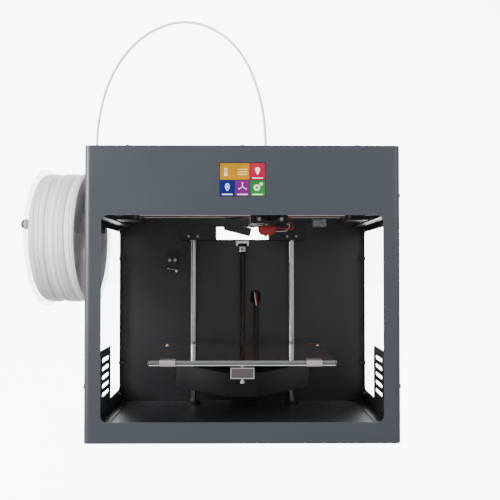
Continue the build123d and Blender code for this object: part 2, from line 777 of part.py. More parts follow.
def extruder_block():
    y = (GANTRY_Y - 9, GANTRY_Y + 7)
    base = block((16, 66), y, (HEAD_Z[1], 334))
    base -= rod_z(3.2, FILAMENT_X, GANTRY_Y, (HEAD_Z[1] - 1, 335))
    back = block((16, 66), (GANTRY_Y + 7, GANTRY_Y + 9), (HEAD_Z[1], 369))
    top = block((30, 66), y, (360, 369))
    top -= rod_z(TUBE_R + 0.2, FILAMENT_X, GANTRY_Y, (359, 370))
    post = block((50, 66), y, (334, 360)) - rod_y(8, GEAR_X, (y[0] - 1, y[1] + 1), EXTRUDER_Z)
    back -= rod_y(8, GEAR_X, (y[1] - 1, y[1] + 3), EXTRUDER_Z)
    pin = rod_y(2.5, LEVER_PIN[0], (y[0] + 1, y[1]), LEVER_PIN[1])
    return base + back + top + post + pin


def extruder_motor():
    y = (GANTRY_Y + 9, 7.5)
    body = rounded_y((GEAR_X - 21, GEAR_X + 21), y, (EXTRUDER_Z - 20.5, EXTRUDER_Z + 21), 4)
    return body + rod_y(7.8, GEAR_X, (GANTRY_Y + 7.2, y[0]), EXTRUDER_Z)


def drive_gear():
    wheel = Pos(GEAR_X, GANTRY_Y, EXTRUDER_Z) * Rot(90, 0, 0) * toothed(GEAR_R, 8, 20, 0.4)
    return wheel + rod_y(2.5, GEAR_X, (GANTRY_Y, GANTRY_Y + 7), EXTRUDER_Z)


def idler_lever():
    # A lever on a pin; it carries the idler bearing's axle and ends in a thumb tab.
    y = (GANTRY_Y - 7.5, GANTRY_Y - 5)
    arm = block((17, 32), y, (335.5, 355)) + block((17, 28.5), y, (355, 372))
    hub = rod_y(4.6, LEVER_PIN[0], (GANTRY_Y - 7.5, GANTRY_Y + 6), LEVER_PIN[1])
    axle = rod_y(2.4, IDLER_X, (GANTRY_Y - 5, GANTRY_Y + 4), EXTRUDER_Z)
    tab = block((10, 26), (GANTRY_Y - 7.5, GANTRY_Y + 2), (369.5, 372))
    lever = arm + hub + axle + tab
    return lever - rod_y(2.5 + RUNNING, LEVER_PIN[0], (GANTRY_Y - 9, GANTRY_Y + 8), LEVER_PIN[1])


def idler_bearing():
    ring = rod_y(IDLER_R, IDLER_X, (GANTRY_Y - 3, GANTRY_Y + 3), EXTRUDER_Z)
    return ring - rod_y(2.45, IDLER_X, (GANTRY_Y - 4, GANTRY_Y + 4), EXTRUDER_Z)


def tube_fitting():
    body = rod_z(5, FILAMENT_X, GANTRY_Y, (369, 375)) + rod_z(3.6, FILAMENT_X, GANTRY_Y, (375, 378))
    return body - rod_z(TUBE_R + 0.02, FILAMENT_X, GANTRY_Y, (368, 379))


# Bed: glass, heated plate, beam and carrier, all on the Z rods

def glass_plate():
    return rounded_z((-BED_HALF_X, BED_HALF_X), BED_Y, (BED_TOP - GLASS_T, BED_TOP), 3)


def heater_plate():
    z = (BED_TOP - GLASS_T - HEATER_T, BED_TOP - GLASS_T)
    plate = rounded_z((-BED_HALF_X, BED_HALF_X), BED_Y, z, 3)
    for x, y in levelling_spots():
        plate -= rod_z(1.6, x, y, (z[0] - 1, z[1] + 1))
    return plate


def levelling_spots():
    return [(0, BED_Y[0] + FRONT_SCREW_IN), (-LEVEL_X, LEVEL_Y), (LEVEL_X, LEVEL_Y)]


def bed_clips():
    # Sprung strips that grip the glass and the heated plate.
    under = BED_TOP - GLASS_T - HEATER_T
    clips = []
    for x in (-100, 96):
        clip = block((x - 10.5, x + 10.5), (BED_Y[0] - 2, BED_Y[0] + 7), (under - 1.2, BED_TOP + 2))
        clip -= block((x - 11, x + 11), (BED_Y[0], BED_Y[0] + 8), (under, BED_TOP))
        clip -= block((x - 11, x + 11), (BED_Y[0] + 2.5, BED_Y[0] + 8), (BED_TOP + 1, BED_TOP + 3))
        clips.append(clip)
    for x in (-114, 114):
        clip = block((x - 9, x + 9), (BED_Y[1] - 9, BED_Y[1] + 1.5), (under - 1.2, BED_TOP + 1.4))
        clip -= block((x - 10, x + 10), (BED_Y[1] - 10, BED_Y[1]), (under, BED_TOP))
        clips.append(clip)
    return group(clips)


def support_beam():
    # A rectangular tube from the front edge back over the carrier, with a cross piece.
    y = (BED_Y[0] + 1, 76)
    beam = block((-BEAM_HALF_X, BEAM_HALF_X), y, BEAM_Z)
    beam -= block(beam_inside_x(), (y[0] - 1, y[1] + 1), beam_inside_z())
    cross_z = (BEAM_Z[0] - CROSS_T, BEAM_Z[0])
    beam += block((-LEVEL_X - 8, LEVEL_X + 8), (LEVEL_Y - 10, LEVEL_Y + 10), cross_z)
    for x, y in levelling_spots():
        beam -= rod_z(1.6, x, y, (BEAM_Z[0] - CROSS_T - 1, BEAM_Z[1] + 1))
    return beam


def beam_inside_x():
    return (BEAM_WALL - BEAM_HALF_X, BEAM_HALF_X - BEAM_WALL)


def beam_inside_z():
    return (BEAM_Z[0] + BEAM_WALL, BEAM_Z[1] - BEAM_WALL)


def beam_plug():
    # A dark plug in the beam's front end.
    return block(beam_inside_x(), (BED_Y[0] + 1.6, BED_Y[0] + 3.6), beam_inside_z())


def levelling_screws():
    screws = []
    top = BED_TOP - GLASS_T
    for (x, y), low in zip(levelling_spots(), (75.0, 69.5, 69.5)):
        screws.append(rod_z(1.5, x, y, (low, top)))
    front_x, front_y = levelling_spots()[0]
    screws.append(rod_z(3.4, front_x, front_y, (71.5, 75)))
    return group(screws)


def levelling_springs():
    # Coil springs between the beam or its cross piece and the heated plate.
    springs = []
    under = BED_TOP - GLASS_T - HEATER_T
    for (x, y), low in zip(levelling_spots(), (BEAM_Z[1], BEAM_Z[0], BEAM_Z[0])):
        turns = max(1, round((under - low) / 3.4))
        pitch = (under - low - 1.2) / turns
        coil = Helix(pitch=pitch, height=pitch * turns, radius=3.2)
        wire = sweep(Plane(origin=coil @ 0, z_dir=coil % 0) * Circle(0.5), path=coil)
        springs.append(Pos(x, y, low + 0.6) * wire)
    return group(springs)


def levelling_knob(side):
    # A ribbed thumb nut under the cross piece.
    top = BEAM_Z[0] - CROSS_T - 0.1
    knob = Pos(side * LEVEL_X, LEVEL_Y, top - 2) * toothed(KNOB_R, 4, 16, 0.7)
    return knob - rod_z(1.5 + RUNNING, side * LEVEL_X, LEVEL_Y, (top - 5, top + 1))


def carrier_plan(inset):
    # Narrow at the front under the bed's middle, wide where it meets the rods.
    wide = CARRIER_X - inset
    narrow = 24 - inset * 0.8
    front = -16 + inset
    outline = Polyline((-wide, 84), (-narrow, front), (narrow, front), (wide, 84), close=True)
    return make_face(outline)


def carrier_deck(top):
    # The flat part round the rods and the screw, with its bent-down ends.
    y = (84, CARRIER_REAR_Y)
    deck = block((-CARRIER_X, CARRIER_X), y, top)
    for side in (-1, 1):
        end = block(span(side, CARRIER_X - 3.5, CARRIER_X), y, (CARRIER_BOTTOM, top[0]))
        deck += end
    return deck


def bed_carrier():
    top = (CARRIER_TOP - CARRIER_T, CARRIER_TOP)
    body = Pos(0, 0, CARRIER_BOTTOM) * extrude(carrier_plan(0), CARRIER_TOP - CARRIER_BOTTOM)
    inside = extrude(carrier_plan(CARRIER_T), top[0] - CARRIER_BOTTOM + 1)
    body -= Pos(0, 0, CARRIER_BOTTOM - 1) * inside
    body += carrier_deck(top)
    cut = (top[0] - 1, top[1] + 1)
    body -= rod_z(6.5, 0, Z_AXIS_Y, cut)
    for side in (-1, 1):
        body -= rod_z(11, side * Z_ROD_X, Z_AXIS_Y, cut)
        body -= rod_z(KNOB_R + 2.5, side * LEVEL_X, LEVEL_Y, cut)
        body += rod_z(5, side * 40, LEVEL_Y, (CARRIER_TOP, BEAM_Z[0] - CROSS_T))
    return body + block((-13, 13), (-8, 6), (CARRIER_TOP, BEAM_Z[0]))


def bearing_housing(side):
    x = span(side, Z_ROD_X - 14, Z_ROD_X + 14)
    z = (CARRIER_BOTTOM + 1, CARRIER_TOP - CARRIER_T)
    housing = rounded_z(x, (86.5, CARRIER_REAR_Y), z, 3)
    return housing - rod_z(9.5, side * Z_ROD_X, Z_AXIS_Y, (CARRIER_BOTTOM, CARRIER_TOP))


def z_bushings():
    bushings = []
    for side in (-1, 1):
        z = (CARRIER_BOTTOM + 1, CARRIER_BOTTOM + 30)
        bush = rod_z(9.5, side * Z_ROD_X, Z_AXIS_Y, z)
        bush -= rod_z(Z_ROD_R + RUNNING, side * Z_ROD_X, Z_AXIS_Y, (z[0] - 1, z[1] + 1))
        bushings.append(bush)
    return group(bushings)


def screw_nut():
    z = CARRIER_TOP - CARRIER_T
    nut = rod_z(11, 0, Z_AXIS_Y, (z - 3.5, z)) + rod_z(5.5, 0, Z_AXIS_Y, (z - 14, z + 6))
    nut -= rod_z(SCREW_R + RUNNING, 0, Z_AXIS_Y, (z - 15, z + 7))
    for i in range(4):
        angle = math.radians(45 + 90 * i)
        nut -= rod_z(1.6, 8 * math.cos(angle), Z_AXIS_Y + 8 * math.sin(angle), (z - 4, z + 1))
    return nut


def switch_flag():
    arm = block((-126, -CARRIER_X), (112, 115), (45.5, 49.5))
    return arm + block((-113, -CARRIER_X), (104, 115), (45.5, 60))


# Z drive on the case

def z_rod(side):
    return rod_z(Z_ROD_R, side * Z_ROD_X, Z_AXIS_Y, (FLOOR_Z, 288))


def z_rod_top(side):
    # A dark block that fills one end of the partition's slot and holds a rod.
    body = rounded_y(span(side, 43.5, 103.5), (92, PARTITION_Y), (272, 294.5), 1.5)
    body -= rod_z(Z_ROD_R, side * Z_ROD_X, Z_AXIS_Y, (271, 288))
    for x in z_rod_screw_spots(side):
        body -= rod_y(1.2, x, (91, 98), 278)
    return body


def z_rod_screw_spots(side):
    return (side * Z_ROD_X - 7.5, side * Z_ROD_X + 7.5)


def z_rod_screws():
    # Two screws beside each rod in the top block's front face.
    screws = []
    for side in (-1, 1):
        for x in z_rod_screw_spots(side):
            screws.append(cap_screw_y(x, 92, 278, 1.2, 6, 1.8))
    return group(screws)


def z_rod_feet():
    feet = []
    for side in (-1, 1):
        foot = rod_z(11, side * Z_ROD_X, Z_AXIS_Y, (FLOOR_Z, FLOOR_Z + 5))
        feet.append(foot - rod_z(Z_ROD_R, side * Z_ROD_X, Z_AXIS_Y, (FLOOR_Z - 1, FLOOR_Z + 6)))
    return group(feet)


def z_motor():
    body = rounded_z((-21, 21), (Z_AXIS_Y - 18, Z_AXIS_Y + 21), (FLOOR_Z, FLOOR_Z + 22), 4)
    body += rod_z(11, 0, Z_AXIS_Y, (FLOOR_Z + 22, FLOOR_Z + 24))
    return body - rod_z(SCREW_R + RUNNING, 0, Z_AXIS_Y, (FLOOR_Z + 4, FLOOR_Z + 25))


def lead_screw():
    return rod_z(SCREW_R, 0, Z_AXIS_Y, (FLOOR_Z + 5, 268))


def screw_collar():
    z = (252.5, 261.5)
    collar = rod_z(6.7, 0, Z_AXIS_Y, z) - rod_z(SCREW_R, 0, Z_AXIS_Y, (z[0] - 1, z[1] + 1))
    collar -= rod_y(1.6, 0, (Z_AXIS_Y - 8, Z_AXIS_Y - 4.5), 257)
    return collar


def top_bearing():
    # A pale bracket that steadies the screw's top end.
    bracket = block((-10.5, 10.5), (90, PARTITION_Y), (266.5, 270.5))
    for side in (-1, 1):
        bracket += block(span(side, 7.5, 10.5), (90, PARTITION_Y), (262.5, 270.5))
    return bracket - rod_z(SCREW_R + RUNNING, 0, Z_AXIS_Y, (262, 269))


def z_switch():
    # A small limit switch on the partition; its screws show.
    y = (115, PARTITION_Y)
    body = block((-126.5, -108.6), y, (226, 248))
    plate = block((-127.5, -107.6), (122.5, PARTITION_Y), (222, 256))
    for x in SWITCH_SCREW_X:
        body -= rod_y(1.5, x, (y[0] - 1, y[0] + 3), 239)
    return body + plate


def z_switch_screws():
    return group([cap_screw_y(x, 115, 239, 1.5, 3, 1.6) for x in SWITCH_SCREW_X])


def z_switch_lever():
    # A thin sprung lever that slopes down from its pin to a roller.
    x, z = LEVER_PIVOT
    strip = block((x - 1.1, x + 14), (115.5, 119.5), (z - 0.5, z - 0.1))
    roller = rod_y(2, x + 14.4, (115.6, 119.4), z - 2.1)
    sloped = (strip + roller).rotate(Axis((x, 0, z), (0, 1, 0)), LEVER_SLOPE)
    return sloped + rod_y(0.8, x, (115.5, 119.5), z)


# Cable from the partition to the lower grommet

def cord_path(points):
    # Straight runs joined by arcs as large as the runs allow.
    spots = [Vector(*p) for p in points]
    radii = []
    for a, b, c in zip(spots, spots[1:], spots[2:]):
        turn = math.radians((b - a).get_angle(c - b))
        run = min((b - a).length, (c - b).length)
        radii.append(0.45 * run / math.tan(turn / 2))
    return FilletPolyline(*spots, radius=radii)


def tube_along(points, radius):
    path = cord_path(points)
    return sweep(Plane(origin=path @ 0, z_dir=path % 0) * Circle(radius), path=path)


def bed_cable():
    return tube_along(BED_CABLE, BED_CABLE_R)


def cable_grommets():
    grommets = []
    for z in CABLE_HOLES_Z:
        x = (CABLE_X - 10, CABLE_X + 10)
        ring = rounded_y(x, (PARTITION_Y - 1.6, PARTITION_Y), (z - 13, z + 13), 9.9)
        hole_x = (x[0] + 3.5, x[1] - 3.5)
        ring -= rounded_y(hole_x, (PARTITION_Y - 3, PARTITION_Y + 1), (z - 9.5, z + 9.5), 6.4)
        grommets.append(ring)
    return group(grommets)


# Spool side: everything here is turned about a vertical line at the bracket

def yawed(shape):
    line = Axis((-HALF_W, SPOOL_PIVOT_Y, 0), (0, 0, 1))
    return shape.rotate(line, SPOOL_YAW)


def spool_bracket():
    y = (SPOOL_PIVOT_Y - 27, SPOOL_PIVOT_Y + 27)
    plate = rounded_x((-HALF_W - 5, -HALF_W), y, (277, 318), 6)
    boss = rod_x(11, (-HALF_W - 8, -HALF_W - 5), SPOOL_PIVOT_Y, AXLE_Z)
    for y in (-20, 20):
        for z in (299, 310):
            plate += rod_x(2.8, (-HALF_W - 6.6, -HALF_W - 5), SPOOL_PIVOT_Y + y, z)
    return plate + boss


def spool_axle():
    return yawed(rod_x(AXLE_R, (AXLE_END_X, -HALF_W - 8.6), SPOOL_PIVOT_Y, AXLE_Z))


def axle_knob():
    # A ball with a flat side against the axle's end.
    ball = Rot(0, 90, 0) * Sphere(7.8) - block((6, 10), (-10, 10), (-10, 10))
    return yawed(Pos(AXLE_END_X - 6, SPOOL_PIVOT_Y, AXLE_Z) * ball)


def flange(x):
    # A clear disc with a ring of round windows and a raised rim.
    disc = rod_x(SPOOL_R, (x, x + FLANGE_T), SPOOL_PIVOT_Y, SPOOL_Z)
    disc -= rod_x(HUB_R, (x - 1, x + FLANGE_T + 1), SPOOL_PIVOT_Y, SPOOL_Z)
    for i in range(6):
        angle = math.radians(30 + i * 60)
        y = SPOOL_PIVOT_Y + 50 * math.cos(angle)
        z = SPOOL_Z + 50 * math.sin(angle)
        disc -= rod_x(10, (x - 1, x + FLANGE_T + 1), y, z)
    return disc


def spool_flanges():
    left = SPOOL_X - SPOOL_W / 2
    return yawed(group([flange(left), flange(left + SPOOL_W - FLANGE_T)]))


def spool_hub():
    x = (SPOOL_X - SPOOL_W / 2 + FLANGE_T, SPOOL_X + SPOOL_W / 2 - FLANGE_T)
    hub = rod_x(38, x, SPOOL_PIVOT_Y, SPOOL_Z) - rod_x(34, (x[0] - 1, x[1] + 1), SPOOL_PIVOT_Y, SPOOL_Z)
    inner = rod_x(HUB_R + 3, x, SPOOL_PIVOT_Y, SPOOL_Z)
    inner -= rod_x(HUB_R, (x[0] - 1, x[1] + 1), SPOOL_PIVOT_Y, SPOOL_Z)
    ribs = []
    for i in range(6):
        rib = block((x[0], x[1]), (HUB_R + 2, 35), (-1.2, 1.2))
        ribs.append(Pos(0, SPOOL_PIVOT_Y, SPOOL_Z) * Rot(i * 60, 0, 0) * rib)
    return yawed(hub + inner + ribs)


def filament_winding():
    x = (SPOOL_X - SPOOL_W / 2 + FLANGE_T, SPOOL_X + SPOOL_W / 2 - FLANGE_T)
    wound = rod_x(WOUND_R, x, SPOOL_PIVOT_Y, SPOOL_Z)
    return yawed(wound - rod_x(38, (x[0] - 1, x[1] + 1), SPOOL_PIVOT_Y, SPOOL_Z))


def tube_guide():
    # An arm on the left wall that holds the tube's lower end above the spool.
    y = (GUIDE_Y - 7, GUIDE_Y + 7)
    arm = block((GUIDE_X - 7, -HALF_W - 2), y, (GUIDE_Z[0], GUIDE_Z[0] + 3))
    arm += block((-HALF_W - 3, -HALF_W), y, (340, GUIDE_Z[0] + 3))
    arm += rod_z(5, GUIDE_X, GUIDE_Y, GUIDE_Z)
    arm -= rod_z(TUBE_R + 0.02, GUIDE_X, GUIDE_Y, (GUIDE_Z[0] + 1.2, GUIDE_Z[1] + 1))
    return arm - rod_z(FILAMENT_R + 0.3, GUIDE_X, GUIDE_Y, (GUIDE_Z[0] - 1, GUIDE_Z[0] + 2))


def guide_screws():
    return group([rod_x(3, (-HALF_W - 4.6, -HALF_W - 3), GUIDE_Y, z) for z in (350, 370)])


def filament_strand():
    # The taut strand from the back of the winding up to the guide.
    low = Vector(*STRAND_FOOT)
    high = Vector(GUIDE_X, GUIDE_Y, GUIDE_Z[0] + 1.2)
    run = high - low
    strand = Cylinder(FILAMENT_R, run.length)
    return Plane(origin=low + run / 2, z_dir=run) * strand


def guide_tube_right():
    return tube_along(TUBE_TO_TOP, TUBE_R)


def guide_tube_left():
    return tube_along(TUBE_TO_GUIDE, TUBE_R)


def case_nodes():
    save("case_shell", drilled_side(drilled_side(case_shell(), -1), 1))
    save("top_cover", top_cover())
    save("base_plate", case_outline((0, BASE_T)))
    save("rear_partition", rear_partition())
    save("rear_cover", rear_cover())
    save("side_panes", both_sides(lambda side: drilled_side(side_pane(side), side)))
    save("side_rails", both_sides(side_rail))
    save("touch_screen", touch_screen(), display_board())
    small = (guide_screws(), z_rod_screws(), z_switch_screws(), y_idler_pins())
    save("case_screws", pane_screws(), case_screws(), *small)


def electronics_nodes():
    save("power_supply", power_supply())
    save("control_board", control_board())
    fan = exhaust_place() * fan_frame(FAN_SIZE, FAN_DEPTH, FAN_BORE, FAN_HUB, FAN_HOLES)
    save("rear_fittings", power_inlet(), switch_frame(), data_port(), fan, fan_guard())
    save("switch_rocker", switch_rocker())
    rotor = fan_rotor(FAN_BORE, FAN_HUB, FAN_DEPTH, FAN_BLADES)
    save("exhaust_rotor", exhaust_place() * rotor)


def gantry_nodes():
    save("gantry_blocks", both_sides(gantry_block), x_motor_plate(), y_bushings())
    save("x_rods", x_rods(), gantry_bolts(), x_idler_axle())
    save("x_belt", x_belt())
    save("x_motor", x_motor())
    save("x_pulley", x_pulley())
    save("x_idler", x_idler())
    save("y_belts", y_belts())
    save("y_shaft", y_shaft())
    save("y_idlers", both_sides(y_idler))
    save("junction_housing", junction_housing())


def head_nodes():
    save("carriage", carriage(), x_bushings())
    save("hot_end", heat_sink(), heat_break(), heater_block(), nozzle())
    save("heater_sock", heater_sock())
    save("heater_wires", heater_wires())
    fan = fan_frame(HEAD_FAN_SIZE, HEAD_FAN_DEPTH, HEAD_FAN_BORE, HEAD_FAN_HUB, HEAD_FAN_HOLES)
    rotor = fan_rotor(HEAD_FAN_BORE, HEAD_FAN_HUB, HEAD_FAN_DEPTH, FAN_BLADES)
    save("head_fans", front_fan_place() * fan, cooling_fan_place() * Rot(180, 0, 0) * fan)
    save("front_rotor", front_fan_place() * rotor)
    save("cooling_rotor", cooling_fan_place() * Rot(180, 0, 0) * rotor)
    save("head_fixings", fan_bracket(), head_screws())
    save("extruder_block", extruder_block(), tube_fitting())
    save("extruder_motor", extruder_motor())
    save("drive_gear", drive_gear())
    save("idler_lever", idler_lever(), idler_bearing())


def bed_nodes():
    save("glass_plate", glass_plate())
    save("heater_plate", heater_plate())
    save("bed_clips", bed_clips())
    save("support_beam", support_beam())
    save("levelling_hardware", levelling_screws(), levelling_springs())
    save("knob_left", levelling_knob(-1))
    save("knob_right", levelling_knob(1))
    save("bed_carrier", bed_carrier(), both_sides(bearing_housing), switch_flag(), beam_plug())
    save("z_bearings", z_bushings(), screw_nut())


def drive_nodes():
    save("guide_rods", both_sides(z_rod), both_sides(y_rod))
    save("rod_holders", both_sides(z_rod_top), z_rod_feet(), y_rod_holders(), shaft_bearings())
    save("axis_motors", z_motor(), y_motor())
    save("lead_screw", lead_screw(), screw_collar())
    save("top_bearing", top_bearing())
    save("z_switch", z_switch())
    save("z_switch_lever", z_switch_lever())
    save("bed_cable", bed_cable(), cable_grommets())


def spool_nodes():
    save("spool_holder", spool_bracket(), axle_knob(), tube_guide())
    save("spool_axle", spool_axle())
    save("spool_reel", spool_flanges(), spool_hub())
    save("filament_winding", filament_winding())
    save("filament_strand", filament_strand())
    save("guide_tube_right", guide_tube_right())
    save("guide_tube_left", guide_tube_left())


case_nodes()
electronics_nodes()
gantry_nodes()
head_nodes()
bed_nodes()
drive_nodes()
spool_nodes()
os.makedirs("parts", exist_ok=True)
for name, shape in NODES.items():
    export_step(shape, "parts/" + name + ".step")
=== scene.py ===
import math

import bmesh
import bpy
from mathutils import Matrix, Vector


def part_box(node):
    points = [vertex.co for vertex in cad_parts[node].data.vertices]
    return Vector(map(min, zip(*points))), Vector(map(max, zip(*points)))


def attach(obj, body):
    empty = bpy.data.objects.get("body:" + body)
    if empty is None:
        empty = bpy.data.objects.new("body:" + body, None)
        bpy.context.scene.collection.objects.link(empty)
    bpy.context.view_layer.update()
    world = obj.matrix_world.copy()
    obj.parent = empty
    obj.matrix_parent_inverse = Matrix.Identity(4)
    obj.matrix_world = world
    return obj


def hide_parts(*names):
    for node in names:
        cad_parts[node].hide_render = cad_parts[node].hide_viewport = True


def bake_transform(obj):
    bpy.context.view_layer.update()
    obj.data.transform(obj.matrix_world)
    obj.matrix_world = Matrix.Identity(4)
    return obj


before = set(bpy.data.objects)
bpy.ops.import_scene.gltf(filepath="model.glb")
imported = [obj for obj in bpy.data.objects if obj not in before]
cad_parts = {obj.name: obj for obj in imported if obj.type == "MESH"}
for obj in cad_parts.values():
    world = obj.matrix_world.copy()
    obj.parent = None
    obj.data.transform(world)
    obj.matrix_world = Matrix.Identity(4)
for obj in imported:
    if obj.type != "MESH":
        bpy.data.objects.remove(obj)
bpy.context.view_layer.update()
MM = 0.001

# Driving places and sizes in the printer's own frame, in millimetres and degrees; cord lengths in metres
CAMERA_AT = (0.0, -1180.0, 226.0)
CAMERA_LENS = 55.7
CAMERA_PITCH = 1.33
CAMERA_YAW = -0.56

TUBE_D = 4.0
TUBE_TOP = (-70, 7.5, 603.4)
TUBE_TO_TOP = [
    (35, -27.5, 375), (35, -27.5, 405), (33, -25, 450), (24, -20, 494), (7.7, -14, 537.6),
    (-17.4, -7, 573), (-51, 2, 597.5), TUBE_TOP,
]
TUBE_TO_GUIDE = [
    TUBE_TOP, (-90.9, 13.55, 609.89), (-132.4, 24, 602.8), (-168.6, 34, 582),
    (-197.4, 43, 551), (-218.6, 51, 510), (-230.6, 58, 463.4), (-235, 65, 424), (-235, 65, 389),
]

CORD_SIDES = 20

CABLE_D = 7.6
CABLE_X = 22.0
CABLE_HOLES_Z = (177.0, 58.0)
CABLE_ROUTE = [
    (22, 136, 185), (22, 129, 182), (22.2, 119.8, 169), (23, 119.8, 146), (22.6, 119.8, 120),
    (21.6, 119.8, 94), (22, 119.8, 66), (22, 129, 53), (22, 136, 50),
]
CABLE_WIRE_R = 0.7
GROMMET_Y = 125.0
GROMMET_HALF_W = 8.2
GROMMET_RISE = 3.0
GROMMET_WIRE_R = 1.0
SWITCH_SCREWS = [(-121.5, 115.0, 239.0), (-112.5, 115.0, 239.0)]
BLOCK_SCREWS = [(side * 81.0 + shift, 92.0, 278.0) for side in (-1, 1) for shift in (-7.5, 7.5)]
BEAM_PLUG_X = (-14.2, 14.2)
BEAM_PLUG_Z = (79.8, 91.2)
BEAM_PLUG_Y = -144.4

CASE_MIDDLE = (0.0, 0.0, 190.0)

SPOOL_YAW = -4.7
SPOOL_PIVOT = (-205.0, -47.0, 270.0)
SPOOL_CENTRE_X = -252.0
WOUND_HALF_W = 31.3
WOUND_R = 93.9
WOUND_INNER_R = 38.1
STRAND_PITCH = 1.9
WINDING_GROOVES = [-25.4, -19.0, -11.2, -4.6, 3.4, 10.0, 17.6, 24.8]

SCREW_X = 0.0
SCREW_Y = 101.0
SCREW_R = 4.0
SCREW_Z = (7.0, 268.0)
SCREW_LEAD = 8.0
SCREW_STARTS = 4
COLLAR_Z = (252.5, 261.5)
COLLAR_R = 6.7
COLLAR_BORE_R = 4.02
COLLAR_BEVEL = 0.5
COLLAR_SCREW_Z = 257.0

SCREEN_FACE_Y = -179.72
SCREEN_X = 29.0
SCREEN_Z = (319.2, 361.8)
TILE_GAP = 1.1
ICON_LIFT = 0.07
BAR_HALF_W = 7.0
BAR_Z = (1.4, 2.8)
READOUT_Z = (6.2, 7.6)
READOUT_STEP = 3.2

BED_TOP = 102.5
BED_UNDER = 95.5
BED_FRONT_Y = -146.0
BED_REAR_Y = 82.0
FRONT_CLIPS_X = {"left": -100.0, "right": 96.0}
REAR_CLIPS_X = {"left": -114.0, "right": 114.0}
FRONT_CLIP_HALF_W = 10.5
REAR_CLIP_HALF_W = 9.0
CLIP_THICKNESS = 0.45
CLIP_BEND_R = 0.9
HEATER_LAYER_Z = (97.0, 97.2)

NOZZLE_AXIS = (35.0, -27.5, 0.0)

WIRES = [
    ("heater_wire_upper", "wire_red", 0.9,
     [(50, -31, 285), (57, -31, 285), (67, -31, 284), (75, -28, 283), (76, -23, 289), (72, -22, 294.5),
      (66, -22, 294.5)]),
    ("heater_wire_lower", "wire_red", 0.9,
     [(50, -25, 285), (57, -25, 285), (65, -23, 283), (70, -18, 286), (71, -15, 291.5), (69.8, -15, 295.6),
      (66, -15, 295.6)]),
    ("sensor_wire_green", "wire_green", 0.5,
     [(50, -28, 280.5), (56, -28, 280.5), (63, -27, 279.5), (69, -25.5, 282), (72, -25, 288),
      (70.5, -25.5, 293), (66, -25.5, 293)]),
    ("sensor_wire_white", "wire_white", 0.5,
     [(50, -29.3, 280.6), (57, -29.6, 280.4), (64, -29.4, 280.9), (68.6, -28.2, 283.6), (70.4, -27.4, 289),
      (69.6, -27.4, 291.4), (66, -27.4, 291.4)]),
    ("fan_wire_red", "wire_red", 0.55,
     [(12, -36, 292.5), (9.5, -37, 290.5), (12.5, -39, 287.4), (18, -38.9, 287.6), (21.2, -37.6, 290.6),
      (21.4, -36, 291)]),
    ("fan_wire_white", "wire_white", 0.55,
     [(12, -33, 292), (8.4, -34, 289.4), (12.4, -36.9, 285.4), (18.6, -37, 286.2), (21.8, -35.4, 289.8),
      (22, -34, 291)]),
]

# Brightness of the world and the floor, and the lights: name, place, aim and size in metres, and watts
WORLD_FRONT = 1.0
WORLD_REAR = 9.0
WORLD_EDGE = (0.8, 0.93)
FLOOR_GLOW = 8.2
FLOOR_RADIUS = 9.0
LIGHTS = [
    ("key_light", (-1.3, -1.7, 1.5), (0, 0, 0.2), (1.2, 1.2), 24),
    ("fill_light", (1.5, -1.5, 1.1), (0, 0, 0.2), (1.2, 1.2), 19),
    ("spool_light", (-1.3, -0.7, 0.5), (-0.27, -0.05, 0.27), (0.5, 0.5), 36),
    ("rear_light", (0.4, 1.8, 1.6), (0, 0, 0.2), (1.4, 1.0), 18),
]


# Small helpers

def metres(point):
    return Vector(point) * MM


def turns(count):
    # Evenly spaced angles round one full turn.
    return [2 * math.pi * k / count for k in range(count)]


def srgb(red, green, blue):
    # A display colour, 0 to 255, as linear values.
    def linear(c):
        c = c / 255
        return c / 12.92 if c <= 0.04045 else ((c + 0.055) / 1.055) ** 2.4
    return (linear(red), linear(green), linear(blue))


def add_object(name, data):
    piece = bpy.data.objects.new(name, data)
    bpy.context.scene.collection.objects.link(piece)
    return piece


def mesh_piece(name, bm, material, smooth_angle=35.0):
    bmesh.ops.recalc_face_normals(bm, faces=bm.faces)
    mesh = bpy.data.meshes.new(name)
    bm.to_mesh(mesh)
    bm.free()
    mesh.materials.append(MATERIALS[material])
    mesh.shade_smooth()
    mesh.set_sharp_from_angle(angle=math.radians(smooth_angle))
    return add_object(name, mesh)


def place(piece, body, slot, *replaced):
    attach(piece, body)
    if replaced:
        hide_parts(*replaced)
    return piece


def nurbs_line(points):
    # Points along the smooth line that has these control points, in metres.
    curve = bpy.data.curves.new("route", "CURVE")
    curve.dimensions = "3D"
    curve.resolution_u = 10
    spline = curve.splines.new("NURBS")
    spline.points.add(len(points) - 1)
    for control, point in zip(spline.points, points):
        control.co = (*metres(point), 1)
    spline.order_u = 3
    spline.use_endpoint_u = True
    route = add_object("route", curve)
    mesh = bpy.data.meshes.new_from_object(route)
    line = [vertex.co.copy() for vertex in mesh.vertices]
    bpy.data.objects.remove(route)
    bpy.data.meshes.remove(mesh)
    return line


def tube_rings(line, radius, sides, closed):
    # A ring of points round each point of a line, without twist.
    count = len(line)
    rings = []
    side = None
    for i, point in enumerate(line):
        before = line[(i - 1) % count] if closed or i > 0 else point
        after = line[(i + 1) % count] if closed or i < count - 1 else point
        along = (after - before).normalized()
        if side is None:
            side = along.orthogonal().normalized()
        side = (side - along * side.dot(along)).normalized()
        other = along.cross(side)
        rings.append([point + radius * (math.cos(t) * side + math.sin(t) * other) for t in turns(sides)])
    return rings


